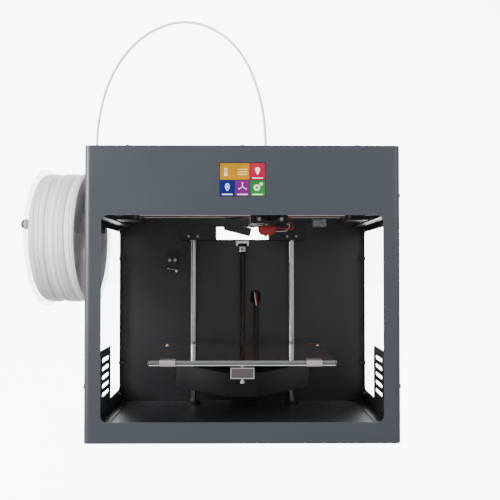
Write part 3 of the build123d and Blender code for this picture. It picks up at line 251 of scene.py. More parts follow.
def tube_bmesh(line, radius, sides, closed=False):
    # A round tube along a line, with UVs in metres: along it, and round it.
    bm = bmesh.new()
    uv = bm.loops.layers.uv.new("UVMap")
    rings = [[bm.verts.new(point) for point in ring] for ring in tube_rings(line, radius, sides, closed)]
    run = 0.0
    for i in range(len(line) if closed else len(line) - 1):
        following = (i + 1) % len(line)
        low, high = rings[i], rings[following]
        end = run + (line[following] - line[i]).length
        for k in range(sides):
            nxt = (k + 1) % sides
            face = bm.faces.new((low[k], low[nxt], high[nxt], high[k]))
            around = (k / sides, (k + 1) / sides, (k + 1) / sides, k / sides)
            for loop, u, v in zip(face.loops, (run, run, end, end), around):
                loop[uv].uv = (u, v * 2 * math.pi * radius)
        run = end
    if not closed:
        bm.faces.new(rings[0])
        bm.faces.new(rings[-1])
    return bm


def skin(bm, rings, closed=False):
    # Faces between neighbouring rings of vertices, and over both ends unless the rings close.
    for low, high in list(zip(rings, rings[1:])) + ([(rings[-1], rings[0])] if closed else []):
        for k in range(len(low)):
            nxt = (k + 1) % len(low)
            bm.faces.new((low[k], low[nxt], high[nxt], high[k]))
    if not closed:
        bm.faces.new(rings[0])
        bm.faces.new(rings[-1])


def lathe_bmesh(profile, segments, transform, closed=False):
    # A profile of (radius, height) points turned about Z.
    bm = bmesh.new()
    rings = []
    for radius, height in profile:
        points = [metres((radius * math.cos(t), radius * math.sin(t), height)) for t in turns(segments)]
        rings.append([bm.verts.new(point) for point in points])
    skin(bm, rings, closed)
    bm.transform(transform)
    return bm


def towards_front(at):
    # Sets a turned shape at a place, with its height towards the front.
    return Matrix.Translation(metres(at)) @ Matrix.Rotation(math.radians(90), 4, "X")


def thicken(bm, faces, shift):
    # Gives flat faces a thickness by a straight pull.
    made = bmesh.ops.extrude_face_region(bm, geom=faces)
    moved = [item for item in made["geom"] if isinstance(item, bmesh.types.BMVert)]
    bmesh.ops.translate(bm, verts=moved, vec=metres(shift))


# Materials: Principled shaders, each with its own pattern of colour, and most with roughness and bump too

class Finish:
    def __init__(self, name, colour, roughness, metallic=0.0, **sockets):
        self.material = bpy.data.materials.new(name)
        self.material.use_nodes = True
        self.tree = self.material.node_tree
        self.shader = self.tree.nodes["Principled BSDF"]
        self.set(self.shader, "Base Color", (*colour, 1.0))
        self.set(self.shader, "Roughness", roughness)
        self.set(self.shader, "Metallic", metallic)
        for key, value in sockets.items():
            self.set(self.shader, key.replace("_", " "), value)
        self.coords = self.tree.nodes.new("ShaderNodeTexCoord")
        self.normal = None

    def set(self, node, socket, value):
        node.inputs[socket].default_value = value

    def link(self, output, node, socket):
        self.tree.links.new(output, node.inputs[socket])

    def place(self, stretch, source="Object"):
        mapping = self.tree.nodes.new("ShaderNodeMapping")
        self.set(mapping, "Scale", stretch)
        self.link(self.coords.outputs[source], mapping, "Vector")
        return mapping.outputs["Vector"]

    def noise(self, scale, stretch=(1, 1, 1), detail=3.0, source="Object"):
        node = self.tree.nodes.new("ShaderNodeTexNoise")
        self.set(node, "Scale", scale)
        self.set(node, "Detail", detail)
        self.link(self.place(stretch, source), node, "Vector")
        return node.outputs["Fac"]

    def cells(self, scale, stretch=(1, 1, 1)):
        node = self.tree.nodes.new("ShaderNodeTexVoronoi")
        self.set(node, "Scale", scale)
        self.link(self.place(stretch), node, "Vector")
        return node.outputs["Distance"]

    def bands(self, scale, direction="X", source="Object", stretch=(1, 1, 1), profile="SIN"):
        node = self.tree.nodes.new("ShaderNodeTexWave")
        node.bands_direction = direction
        node.wave_profile = profile
        self.set(node, "Scale", scale)
        self.link(self.place(stretch, source), node, "Vector")
        return node.outputs["Fac"]

    def spread(self, value, low, high, start=0.3, end=0.7):
        node = self.tree.nodes.new("ShaderNodeMapRange")
        self.set(node, "From Min", start)
        self.set(node, "From Max", end)
        self.set(node, "To Min", low)
        self.set(node, "To Max", high)
        self.link(value, node, "Value")
        return node.outputs["Result"]

    def steepness(self):
        # 1 on faces that look up or down, 0 on upright ones.
        split = self.tree.nodes.new("ShaderNodeSeparateXYZ")
        self.link(self.coords.outputs["Normal"], split, "Vector")
        size = self.tree.nodes.new("ShaderNodeMath")
        size.operation = "ABSOLUTE"
        self.link(split.outputs["Z"], size, 0)
        return self.spread(size.outputs[0], 0, 1, 0.4, 0.6)

    def mix(self, value, low, high):
        # A colour between low and high, each a colour or another output.
        node = self.tree.nodes.new("ShaderNodeMix")
        node.data_type = "RGBA"
        self.link(value, node, 0)
        for index, colour in ((6, low), (7, high)):
            if isinstance(colour, bpy.types.NodeSocket):
                self.tree.links.new(colour, node.inputs[index])
            else:
                node.inputs[index].default_value = (*colour, 1.0)
        return node.outputs[2]

    def colour(self, value, low, high):
        self.link(self.mix(value, low, high), self.shader, "Base Color")
        return self

    def roughness(self, value, low, high):
        self.link(self.spread(value, low, high), self.shader, "Roughness")
        return self

    def bump(self, height, strength, distance=0.0002):
        node = self.tree.nodes.new("ShaderNodeBump")
        self.set(node, "Strength", strength)
        self.set(node, "Distance", distance)
        self.link(height, node, "Height")
        if self.normal:
            self.link(self.normal, node, "Normal")
        self.normal = node.outputs["Normal"]
        self.link(self.normal, self.shader, "Normal")
        return self


def shade(colour, factor):
    return tuple(min(1.0, c * factor) for c in colour)


def powder_coat(name, colour, roughness, peel=0.35):
    # Baked coat: fine orange peel, slight patches of sheen, and pin-head speckle.
    finish = Finish(name, colour, roughness)
    speckle = finish.spread(finish.noise(900, detail=2), 0, 1)
    finish.colour(speckle, shade(colour, 0.93), shade(colour, 1.07))
    finish.roughness(finish.noise(9), roughness - 0.05, roughness + 0.06)
    finish.bump(finish.noise(620, detail=2), peel, 0.00012)
    return finish.material


def coat_with_painted_inner_shade(name, outer, inner, roughness):
    # The same, with painted shade: a darker grey on the faces that look in towards the case's middle, for
    # the dim light inside the case.
    finish = Finish(name, outer, roughness)
    middle = finish.tree.nodes.new("ShaderNodeVectorMath")
    middle.operation = "SUBTRACT"
    middle.inputs[1].default_value = metres(CASE_MIDDLE)
    finish.link(finish.coords.outputs["Object"], middle, 0)
    facing = finish.tree.nodes.new("ShaderNodeVectorMath")
    facing.operation = "DOT_PRODUCT"
    finish.link(middle.outputs["Vector"], facing, 0)
    finish.link(finish.coords.outputs["Normal"], facing, 1)
    speckle = finish.spread(finish.noise(900, detail=2), 0, 1)
    light = finish.mix(speckle, shade(outer, 0.93), shade(outer, 1.07))
    # Painted shade: the inward faces get a darker copy of the same coat.
    painted_inner_shade = finish.mix(speckle, shade(inner, 0.9), shade(inner, 1.1))
    side = finish.spread(facing.outputs["Value"], 0, 1, -0.01, 0.01)
    finish.link(finish.mix(side, painted_inner_shade, light), finish.shader, "Base Color")
    finish.roughness(finish.noise(9), roughness - 0.05, roughness + 0.06)
    finish.bump(finish.noise(620, detail=2), 0.3, 0.00012)
    return finish.material


def moulded(name, colour, roughness=0.45, grain=700):
    # Moulded plastic with a fine spark-eroded grain.
    finish = Finish(name, colour, roughness)
    finish.colour(finish.noise(40), shade(colour, 0.85), shade(colour, 1.18))
    finish.roughness(finish.noise(22), roughness - 0.06, roughness + 0.08)
    finish.bump(finish.cells(grain), 0.25, 0.00015)
    return finish.material


def brushed(name, colour, roughness, stretch, depth=0.12):
    # Metal with fine drawn lines along one direction.
    finish = Finish(name, colour, roughness, 1.0)
    lines = finish.noise(1500, stretch, detail=2)
    finish.colour(finish.noise(30), shade(colour, 0.88), shade(colour, 1.08))
    finish.roughness(lines, roughness - 0.07, roughness + 0.12)
    finish.bump(lines, depth, 0.00008)
    return finish.material


def clear(name, colour, alpha, roughness):
    # Clear sheet with faint haze and wipe marks.
    finish = Finish(name, colour, roughness, Alpha=alpha, IOR=1.49)
    finish.roughness(finish.noise(14, (1, 1, 3)), roughness, roughness + 0.12)
    finish.bump(finish.noise(25), 0.04, 0.0002)
    return finish.material


def spool_plastic(name):
    # Clear moulded flange, with slightly uneven tone and a faint ripple.
    colour = srgb(226, 218, 226)
    finish = Finish(name, colour, 0.16, Alpha=0.27, IOR=1.58)
    finish.colour(finish.noise(18), shade(colour, 0.75), shade(colour, 1.15))
    finish.roughness(finish.noise(50), 0.08, 0.26)
    finish.bump(finish.noise(160), 0.2, 0.0003)
    return finish.material


def bed_mirror(name):
    # Dark red-brown coated glass, almost a mirror, with faint wipe marks.
    coat = {"Coat_Weight": 1.0, "Coat_Roughness": 0.02, "Specular_IOR_Level": 1.0}
    finish = Finish(name, srgb(46, 20, 19), 0.04, **coat)
    top = finish.mix(finish.noise(6), srgb(46, 19, 17), srgb(66, 30, 26))
    edge = finish.mix(finish.noise(60), srgb(62, 70, 66), srgb(84, 92, 86))
    finish.link(finish.mix(finish.steepness(), edge, top), finish.shader, "Base Color")
    finish.roughness(finish.noise(12, (1, 4, 1)), 0.02, 0.09)
    return finish.material


def heater_layers(name):
    # A dark insulating layer over bare aluminium, as the plate's edge shows them.
    finish = Finish(name, (0.5, 0.51, 0.52), 0.32, 0.9)
    split = finish.tree.nodes.new("ShaderNodeSeparateXYZ")
    finish.link(finish.coords.outputs["Object"], split, "Vector")
    layer = finish.spread(split.outputs["Z"], 0, 1, HEATER_LAYER_Z[0] * MM, HEATER_LAYER_Z[1] * MM)
    metal = finish.mix(finish.noise(200, (0.05, 1, 1)), (0.5, 0.51, 0.52), (0.72, 0.73, 0.74))
    finish.link(finish.mix(layer, metal, srgb(20, 17, 17)), finish.shader, "Base Color")
    finish.roughness(finish.noise(300, (0.05, 1, 1)), 0.24, 0.42)
    finish.bump(finish.noise(900, (0.05, 1, 1)), 0.1, 0.0001)
    return finish.material


def speckled(name, colour):
    # Pale plastic with dark and light flecks.
    finish = Finish(name, colour, 0.5)
    flecks = finish.spread(finish.noise(260, detail=4), 0, 1, 0.42, 0.6)
    finish.colour(flecks, shade(colour, 0.55), shade(colour, 1.35))
    finish.roughness(finish.noise(22), 0.42, 0.58)
    finish.bump(finish.cells(700), 0.2, 0.00015)
    return finish.material


def filament_white(name):
    finish = Finish(name, srgb(240, 237, 233), 0.34)
    finish.colour(finish.noise(26, (1, 0.4, 0.4)), srgb(232, 229, 224), srgb(247, 245, 241))
    finish.roughness(finish.noise(90), 0.28, 0.44)
    finish.bump(finish.noise(1400), 0.08, 0.0001)
    return finish.material


def tube_plastic(name):
    # Milky fluoropolymer tube, a little see-through.
    finish = Finish(name, srgb(244, 245, 244), 0.3)
    finish.colour(finish.noise(30, source="UV"), srgb(238, 239, 238), srgb(249, 249, 248))
    finish.roughness(finish.noise(120, source="UV"), 0.24, 0.38)
    finish.bump(finish.noise(500, source="UV"), 0.06, 0.0001)
    return finish.material


def braided(name):
    # Black sleeve of two crossing sets of flat threads.
    finish = Finish(name, srgb(12, 12, 13), 0.66)
    one = finish.bands(170, "DIAGONAL", "UV", (1, 1, 0), "TRI")
    two = finish.bands(170, "DIAGONAL", "UV", (1, -1, 0), "TRI")
    finish.colour(one, srgb(6, 6, 7), srgb(26, 26, 28))
    finish.bump(one, 0.6, 0.0003)
    finish.bump(two, 0.6, 0.0003)
    return finish.material


def ribbed_rubber(name, scale, direction):
    finish = Finish(name, srgb(24, 24, 25), 0.7)
    finish.colour(finish.noise(60), srgb(18, 18, 19), srgb(34, 34, 36))
    finish.bump(finish.bands(scale, direction), 0.8, 0.0006)
    return finish.material


def silicone(name, colour):
    finish = Finish(name, colour, 0.55, Subsurface_Weight=0.1, Subsurface_Scale=0.002)
    finish.colour(finish.noise(90), shade(colour, 0.8), shade(colour, 1.2))
    finish.roughness(finish.noise(60), 0.48, 0.66)
    finish.bump(finish.noise(420), 0.3, 0.0003)
    return finish.material


def circuit_board(name):
    finish = Finish(name, srgb(22, 84, 56), 0.4)
    tracks = finish.bands(60, "X", stretch=(1, 0.2, 1.6), profile="SAW")
    finish.colour(finish.spread(tracks, 0, 1, 0.45, 0.5), srgb(18, 74, 48), srgb(46, 120, 78))
    finish.bump(tracks, 0.2, 0.0002)
    return finish.material


def gloss_black(name):
    finish = Finish(name, srgb(14, 14, 16), 0.12, Coat_Weight=0.6, Coat_Roughness=0.05)
    finish.colour(finish.noise(20), srgb(10, 10, 12), srgb(20, 20, 23))
    finish.roughness(finish.noise(16), 0.08, 0.2)
    finish.bump(finish.noise(900), 0.03, 0.00005)
    return finish.material


def lit_tile(name, colour, strength):
    # A lit screen tile: fine dark lines over a soft change of brightness.
    finish = Finish(name, shade(colour, 0.2), 0.5, Emission_Strength=strength, Specular_IOR_Level=0.15)
    patches = finish.spread(finish.noise(45, detail=1), 0, 1)
    glow = finish.mix(patches, shade(colour, 0.82), shade(colour, 1.15))
    grid = finish.spread(finish.bands(520, "Z"), 0.85, 1.0, 0, 1)
    finish.link(finish.mix(grid, shade(colour, 0.5), glow), finish.shader, "Emission Color")
    return finish.material


def wire_skin(name, colour):
    finish = Finish(name, colour, 0.35)
    finish.colour(finish.noise(200), shade(colour, 0.82), shade(colour, 1.15))
    finish.roughness(finish.noise(150), 0.28, 0.45)
    finish.bump(finish.noise(900), 0.1, 0.0001)
    return finish.material


def pale_floor(name):
    glow = {"Emission_Color": (1, 1, 1, 1), "Emission_Strength": FLOOR_GLOW}
    finish = Finish(name, (0.86, 0.86, 0.86), 0.6, **glow)
    finish.colour(finish.noise(3), (0.85, 0.85, 0.85), (0.87, 0.87, 0.87))
    finish.roughness(finish.noise(5), 0.55, 0.7)
    finish.bump(finish.noise(300), 0.02, 0.0002)
    return finish.material


CASE_GREY = srgb(45, 50, 57)
# Painted shade: the inside of the case is the same coat as outside, darkened here for the dim light in
# there; the rear partition takes it too.
INNER_SHADE_GREY = srgb(27, 29, 34)

MATERIALS = {
    "case_paint": powder_coat("case_paint", CASE_GREY, 0.42),
    "case_sides": coat_with_painted_inner_shade("case_sides", CASE_GREY, INNER_SHADE_GREY, 0.42),
    "inner_paint": powder_coat("inner_paint", INNER_SHADE_GREY, 0.4, 0.25),
    "floor_paint": powder_coat("floor_paint", srgb(48, 53, 59), 0.46, 0.2),
    # Painted highlight: the rails are the case's own coat, painted a lighter grey for the light from the
    # front that falls on them.
    "rail_paint": powder_coat("rail_paint", srgb(62, 66, 71), 0.4),
    "carrier_paint": powder_coat("carrier_paint", srgb(19, 19, 20), 0.5),
    # Partly the holders' own black, partly painted shade: darkened far below black plastic for the shade
    # under the top of the case.
    "holder_black": moulded("holder_black", srgb(6, 6, 7), 0.55),
    "clear_pane": clear("clear_pane", (0.30, 0.32, 0.33), 0.07, 0.03),
    "screen_black": gloss_black("screen_black"),
    "black_steel": brushed("black_steel", srgb(70, 70, 73), 0.4, (1, 1, 1)),
    "supply_metal": brushed("supply_metal", (0.55, 0.56, 0.57), 0.35, (0.02, 1, 1)),
    "board_green": circuit_board("board_green"),
    "black_plastic": moulded("black_plastic", srgb(17, 17, 18)),
    "fan_plastic": moulded("fan_plastic", srgb(26, 26, 28), 0.38, 900),
    "polished_steel": brushed("polished_steel", (0.44, 0.42, 0.44), 0.18, (1, 1, 0.01), 0.05),
    # Painted reflection and shade: the steel is darkened and tinted brown for the brownish, dim reflection
    # the rods show inside the case; the Y shaft and the spool axle share it.
    "rod_steel_painted_reflection": brushed("rod_steel_painted_reflection", (0.40, 0.33, 0.30), 0.2, (0.01, 1, 1), 0.05),
    "bright_steel": brushed("bright_steel", (0.55, 0.54, 0.53), 0.28, (0.02, 1, 1)),
    "clip_silver": brushed("clip_silver", (0.52, 0.46, 0.43), 0.34, (0.02, 1, 1)),
    # Painted reflection and highlight: the screw's steel is tinted brown for its brownish reflection and
    # made lighter to stand for its highlights.
    "screw_steel": brushed("screw_steel", srgb(84, 75, 68), 0.3, (1, 1, 1)),
    "belt_rubber": ribbed_rubber("belt_rubber", 160, "X"),
    "belt_rubber_y": ribbed_rubber("belt_rubber_y", 160, "Y"),
    "motor_black": brushed("motor_black", srgb(46, 46, 49), 0.42, (1, 1, 0.05)),
    "aluminium": brushed("aluminium", (0.42, 0.43, 0.44), 0.34, (0.02, 1, 1)),
    "sink_alloy": brushed("sink_alloy", (0.7, 0.71, 0.72), 0.34, (1, 1, 0.2)),
    "brass": brushed("brass", (0.72, 0.5, 0.2), 0.3, (1, 0.05, 1)),
    "pale_plastic": speckled("pale_plastic", srgb(112, 116, 122)),
    "red_silicone": silicone("red_silicone", srgb(176, 44, 40)),
    "wire_red": wire_skin("wire_red", srgb(168, 22, 30)),
    "wire_green": wire_skin("wire_green", srgb(22, 92, 44)),
    "wire_white": wire_skin("wire_white", srgb(236, 234, 230)),
    "bed_glass": bed_mirror("bed_glass"),
    "plug_mauve": moulded("plug_mauve", srgb(62, 54, 58), 0.55, 500),
    "heater_edge": heater_layers("heater_edge"),
    "black_sleeve": braided("black_sleeve"),
    "clear_plastic": spool_plastic("clear_plastic"),
    "white_filament": filament_white("white_filament"),
    "tube_white": tube_plastic("tube_white"),
    "amber": silicone("amber", srgb(104, 64, 30)),
    "floor": pale_floor("floor"),
}
TILE_COLOURS = {
    "tile_orange": srgb(226, 160, 0), "tile_crimson": srgb(226, 0, 72), "tile_blue": srgb(4, 24, 142),
    "tile_purple": srgb(146, 16, 150), "tile_green": srgb(40, 160, 60), "icon_white": srgb(255, 252, 246),
    "icon_pale": srgb(240, 205, 120),
}
for tile, tone in TILE_COLOURS.items():
    MATERIALS[tile] = lit_tile(tile, tone, 1.5 if tile.startswith("icon") else 0.62)

NODE_MATERIALS = {
    "case_shell": "case_sides", "top_cover": "case_paint", "base_plate": "floor_paint",
    "rear_partition": "inner_paint", "rear_cover": "case_paint", "side_panes": "clear_pane",
    "side_rails": "rail_paint", "touch_screen": "screen_black", "case_screws": "black_steel",
    "power_supply": "supply_metal", "control_board": "board_green", "rear_fittings": "black_plastic",
    "switch_rocker": "black_plastic", "exhaust_rotor": "fan_plastic", "gantry_blocks": "black_plastic",
    "x_rods": "rod_steel_painted_reflection", "x_belt": "belt_rubber", "x_motor": "motor_black", "x_pulley": "aluminium",
    "x_idler": "aluminium", "y_belts": "belt_rubber_y", "y_shaft": "rod_steel_painted_reflection", "y_idlers": "aluminium",
    "junction_housing": "pale_plastic", "carriage": "black_plastic", "hot_end": "sink_alloy",
    "heater_sock": "red_silicone", "head_fans": "fan_plastic", "front_rotor": "fan_plastic",
    "cooling_rotor": "fan_plastic", "head_fixings": "bright_steel", "extruder_block": "aluminium",
    "extruder_motor": "motor_black", "drive_gear": "brass", "idler_lever": "bright_steel",
    "glass_plate": "bed_glass", "heater_plate": "heater_edge", "support_beam": "aluminium",
    "levelling_hardware": "bright_steel", "knob_left": "black_plastic", "knob_right": "black_plastic",
    "bed_carrier": "carrier_paint", "z_bearings": "bright_steel", "guide_rods": "polished_steel",
    "rod_holders": "holder_black", "axis_motors": "motor_black", "top_bearing": "sink_alloy",
    "z_switch": "black_plastic", "z_switch_lever": "bright_steel", "spool_holder": "black_plastic",
    "spool_axle": "rod_steel_painted_reflection", "spool_reel": "clear_plastic", "filament_strand": "white_filament",
}


def dress_nodes():
    for node, material in NODE_MATERIALS.items():
        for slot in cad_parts[node].material_slots:
            slot.material = MATERIALS[material]


# Camera, floor and light

def make_camera():
    data = bpy.data.cameras.new("camera")
    data.lens = CAMERA_LENS
    camera = add_object("camera", data)
    camera.location = metres(CAMERA_AT)
    camera.rotation_euler = (math.radians(90 + CAMERA_PITCH), 0, math.radians(CAMERA_YAW))
    bpy.context.scene.camera = camera


def make_floor():
    bm = bmesh.new()
    bmesh.ops.create_circle(bm, cap_ends=True, radius=FLOOR_RADIUS, segments=96)
    floor = mesh_piece("floor", bm, "floor")
    floor.visible_diffuse = False
    floor.visible_glossy = False


def area_light(name, at, aim, size, power):
    data = bpy.data.lights.new(name, "AREA")
    data.shape = "RECTANGLE"
    data.size = size[0]
    data.size_y = size[1]
    data.energy = power
    light = add_object(name, data)
    light.location = at
    light.rotation_euler = (Vector(aim) - Vector(at)).to_track_quat("-Z", "Y").to_euler()


def make_world():
    # Even light all round, and brighter straight behind the printer.
    world = bpy.data.worlds.new("studio")
    world.use_nodes = True
    tree = world.node_tree
    coords = tree.nodes.new("ShaderNodeTexCoord")
    split = tree.nodes.new("ShaderNodeSeparateXYZ")
    ramp = tree.nodes.new("ShaderNodeMapRange")
    ramp.interpolation_type = "SMOOTHSTEP"
    ramp.inputs["From Min"].default_value = WORLD_EDGE[0]
    ramp.inputs["From Max"].default_value = WORLD_EDGE[1]
    ramp.inputs["To Min"].default_value = WORLD_FRONT
    ramp.inputs["To Max"].default_value = WORLD_REAR
    tree.links.new(coords.outputs["Generated"], split.inputs["Vector"])
    tree.links.new(split.outputs["Y"], ramp.inputs["Value"])
    tree.links.new(ramp.outputs["Result"], tree.nodes["Background"].inputs["Strength"])
    tree.nodes["Background"].inputs["Color"].default_value = (1.0, 1.0, 1.0, 1.0)
    bpy.context.scene.world = world


def make_lights():
    for name, at, aim, size, power in LIGHTS:
        area_light(name, at, aim, size, power)


# Guide tube: one tube in two halves

def half_tube(name, route):
    line = nurbs_line(route)
    piece = mesh_piece(name, tube_bmesh(line, TUBE_D / 2 * MM, CORD_SIDES), "tube_white", 60)
    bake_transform(piece)
    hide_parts(name.replace("visible_", ""))


def make_guide_tube():
    half_tube("visible_guide_tube_right", TUBE_TO_TOP)
    half_tube("visible_guide_tube_left", TUBE_TO_GUIDE)


# Bed cable: a sleeved cable between two grommets in the partition

def grommet_line(z):
    # A stadium round the cable's hole.
    line = []
    for turn in turns(40):
        up = GROMMET_RISE if math.sin(turn) >= 0 else -GROMMET_RISE
        across = CABLE_X + GROMMET_HALF_W * math.cos(turn)
        line.append(metres((across, GROMMET_Y, z + up + GROMMET_HALF_W * math.sin(turn))))
    return line


def make_grommets():
    for z, name in zip(CABLE_HOLES_Z, ("upper", "lower")):
        bm = tube_bmesh(grommet_line(z), GROMMET_WIRE_R * MM, 12, True)
        place(mesh_piece(name + "_grommet", bm, "black_plastic", 60), "frame", "black_plastic")


def cable_wire_route(shift):
    # A loose wire beside the sleeve, which joins it lower down.
    return [
        (CABLE_X + shift, 133, 186.5), (CABLE_X + shift, 128, 185.5), (CABLE_X + shift * 0.8, 121, 178),
        (CABLE_X + shift * 0.5 + 1, 116.4, 169), (CABLE_X + 1.6, 117.2, 160),
    ]


def make_cable_wires():
    for name, shift in (("red", 1.5), ("white", -1.5)):
        bm = tube_bmesh(nurbs_line(cable_wire_route(shift)), CABLE_WIRE_R * MM, 10)
        place(mesh_piece("cable_wire_" + name, bm, "wire_" + name, 60), "frame", "red_wire")


def make_bed_cable():
    line = nurbs_line(CABLE_ROUTE)
    bm = tube_bmesh(line, CABLE_D / 2 * MM, CORD_SIDES)
    cable = mesh_piece("sleeved_cable", bm, "black_sleeve", 60)
    place(cable, "frame", "black_sleeve", "bed_cable")
    make_grommets()
    make_cable_wires()


# Filament: strands laid side by side, in uneven bands

def spool_matrix():
    pivot = metres(SPOOL_PIVOT)
    turn = Matrix.Rotation(math.radians(SPOOL_YAW), 4, "Z")
    return Matrix.Translation(pivot) @ turn @ Matrix.Translation(-pivot)


def winding_radius(x, turn):
    # Broad uneven bands, then one ridge for each strand.
    wander = 1.5 * math.sin(turn + 0.8) + 0.8 * math.sin(2 * turn + 0.09 * x)
    broad = 0.7 * math.sin((x + wander) / 4.3) + 0.4 * math.sin((x + wander) / 2.1 + 1.9)
    groove = 0.0
    for at in WINDING_GROOVES:
        width = 0.8 + 0.4 * math.sin(3 * at)
        groove += math.exp(-(((x + wander - at) / width) ** 2))
    edge = max(0.0, (abs(x) - 26.0) / 5.3)
    ridge = abs(math.sin(math.pi * (x + wander) / STRAND_PITCH))
    return WOUND_R - 1.9 + broad - 1.7 * groove - 1.2 * edge * edge + 0.7 * ridge


def winding_ring(bm, x, radius_at):
    # Vertices round the winding at one place across it.
    ring = []
    for turn in turns(176):
        radius = radius_at(turn)
        along, up = radius * math.cos(turn), radius * math.sin(turn)
        point = (SPOOL_CENTRE_X + x, SPOOL_PIVOT[1] + along, SPOOL_PIVOT[2] + up)
        ring.append(bm.verts.new(metres(point)))
    return ring


def make_winding():
    rows = int(2 * WOUND_HALF_W / STRAND_PITCH * 7)
    bm = bmesh.new()
    rings = [winding_ring(bm, -WOUND_HALF_W, lambda turn: WOUND_INNER_R)]
    for row in range(rows + 1):
        x = -WOUND_HALF_W + 2 * WOUND_HALF_W * row / rows
        rings.append(winding_ring(bm, x, lambda turn: min(WOUND_R, winding_radius(x, turn))))
    rings.append(winding_ring(bm, WOUND_HALF_W, lambda turn: WOUND_INNER_R))
    skin(bm, rings, True)
    bm.transform(spool_matrix())
    coils = mesh_piece("filament_coils", bm, "white_filament", 70)
    place(coils, "spool", "white_filament", "filament_winding")


# Lead screw: a four-start thread and its collar

def thread_radius(z, turn):
    phase = (z - SCREW_LEAD * turn / (2 * math.pi)) * SCREW_STARTS / SCREW_LEAD % 1.0
    ridge = min(1.0, max(0.0, 2.4 * (0.5 - abs(phase - 0.5)) * 2 - 0.4))
    return SCREW_R - 0.85 + 0.83 * ridge


def make_thread():
    rows = int((SCREW_Z[1] - SCREW_Z[0]) / 0.32)
    bm = bmesh.new()
    rings = []
    for row in range(rows + 1):
        z = SCREW_Z[0] + (SCREW_Z[1] - SCREW_Z[0]) * row / rows
        ring = []
        for turn in turns(28):
            radius = thread_radius(z, turn)
            point = (SCREW_X + radius * math.cos(turn), SCREW_Y + radius * math.sin(turn), z)
            ring.append(bm.verts.new(metres(point)))
        rings.append(ring)
    skin(bm, rings)
    screw = mesh_piece("threaded_screw", bm, "screw_steel", 50)
    place(screw, "lead_screw", "screw_steel", "lead_screw")


def make_collar():
    low, high = COLLAR_Z
    shoulder_r = COLLAR_R - COLLAR_BEVEL
    profile = [
        (COLLAR_BORE_R, low), (shoulder_r, low), (COLLAR_R, low + COLLAR_BEVEL),
        (COLLAR_R, high - COLLAR_BEVEL), (shoulder_r, high), (COLLAR_BORE_R, high),
    ]
    at = Matrix.Translation(metres((SCREW_X, SCREW_Y, 0)))
    collar = mesh_piece("screw_collar", lathe_bmesh(profile, 48, at, True), "bright_steel", 30)
    place(collar, "lead_screw", "bright_steel")
    socket = [(1.7, 0), (1.7, 0.25), (1.0, 0.25), (0.9, -0.4)]
    at = towards_front((SCREW_X, SCREW_Y - COLLAR_R, COLLAR_SCREW_Z))
    grub = mesh_piece("collar_screw", lathe_bmesh(socket, 24, at), "black_steel", 30)
    place(grub, "lead_screw", "bright_steel")


# Screen: lit tiles with generic icons, and plain bars where a label would be

def flat_bmesh(loops_2d, y, thickness=0.06):
    # Filled loops in X and Z, given thickness towards the front.
    bm = bmesh.new()
    for loop in loops_2d:
        bm.faces.new([bm.verts.new(metres((x, y, z))) for x, z in loop])
    thicken(bm, list(bm.faces), (0, -thickness, 0))
    return bm


def rounded_rect(x, z, radius):
    # A rectangle from x[0] to x[1] and z[0] to z[1], with round corners.
    steps = 5
    loop = []
    corners = [(x[1] - radius, z[1] - radius, 0), (x[0] + radius, z[1] - radius, 90),
               (x[0] + radius, z[0] + radius, 180), (x[1] - radius, z[0] + radius, 270)]
    for cx, cz, start in corners:
        for k in range(steps + 1):
            turn = math.radians(start + 90 * k / steps)
            loop.append((cx + radius * math.cos(turn), cz + radius * math.sin(turn)))
    return loop


def ring_quads(x, z, outer, inner, count):
    # A flat ring whose outer and inner edges are functions of the turn.
    quads = []
    for k in range(count):
        a = 2 * math.pi * k / count
        b = 2 * math.pi * (k + 1) / count
        edge = [(outer, a), (outer, b), (inner, b), (inner, a)]
        quads.append([(x + f(t) * math.cos(t), z + f(t) * math.sin(t)) for f, t in edge])
    return quads


def stroke(points, width):
    # A ribbon of one quad for each stretch.
    quads = []
    for (x0, z0), (x1, z1) in zip(points, points[1:]):
        length = math.hypot(x1 - x0, z1 - z0)
        dx = -(z1 - z0) / length * width / 2
        dz = (x1 - x0) / length * width / 2
        quads.append([(x0 + dx, z0 + dz), (x0 - dx, z0 - dz), (x1 - dx, z1 - dz), (x1 + dx, z1 + dz)])
    return quads


def oval(x, z, half_w, half_h, count=28):
    return [(x + half_w * math.cos(t), z + half_h * math.sin(t)) for t in turns(count)]


def disc(x, z, radius):
    return [oval(x, z, radius, radius, 20)]


def gear(x, z, radius, teeth):
    def outer(turn):
        return radius * (1.0 + 0.12 * max(-1, min(1, 3 * math.sin(teeth * turn))))
    return ring_quads(x, z, outer, lambda turn: radius * 0.42, 80)


def thermometer(x, z):
    stem = ring_quads(x, z, lambda t: 2.1, lambda t: 1.2, 24)
    for side_x in (x - 1.3, x + 1.3):
        stem += stroke([(side_x, z + 1.6), (side_x, z + 8)], 0.7)
    return stem + stroke([(x - 1.5, z + 8.1), (x + 1.5, z + 8.1)], 0.7)


def pin_shape(x, z):
    # A round-topped shape that runs down to a point.
    loop = []
    for turn in turns(28):
        low = max(0.0, -math.sin(turn))
        across = 3.3 * math.cos(turn) * (1 - 0.25 * low)
        loop.append((x + across, z + 3.2 * math.sin(turn) - low ** 3 * 3.4))
    return [loop]


def lamp_shape(x, z):
    outer = oval(x, z, 3.0, 4.3)
    inner = oval(x, z, 2.1, 3.4)
    rim = [[outer[k], outer[(k + 1) % 28], inner[(k + 1) % 28], inner[k]] for k in range(28)]
    return rim + [oval(x, z, 1.3, 2.3)] + stroke([(x - 1.3, z - 5.0), (x + 1.3, z - 5.0)], 0.8)


def axes_shape(x, z):
    shapes = []
    for angle in (90, 210, 330):
        end = (x + 5.2 * math.cos(math.radians(angle)), z + 5.2 * math.sin(math.radians(angle)))
        shapes += stroke([(x, z), end], 0.7) + disc(end[0], end[1], 0.85)
    return shapes


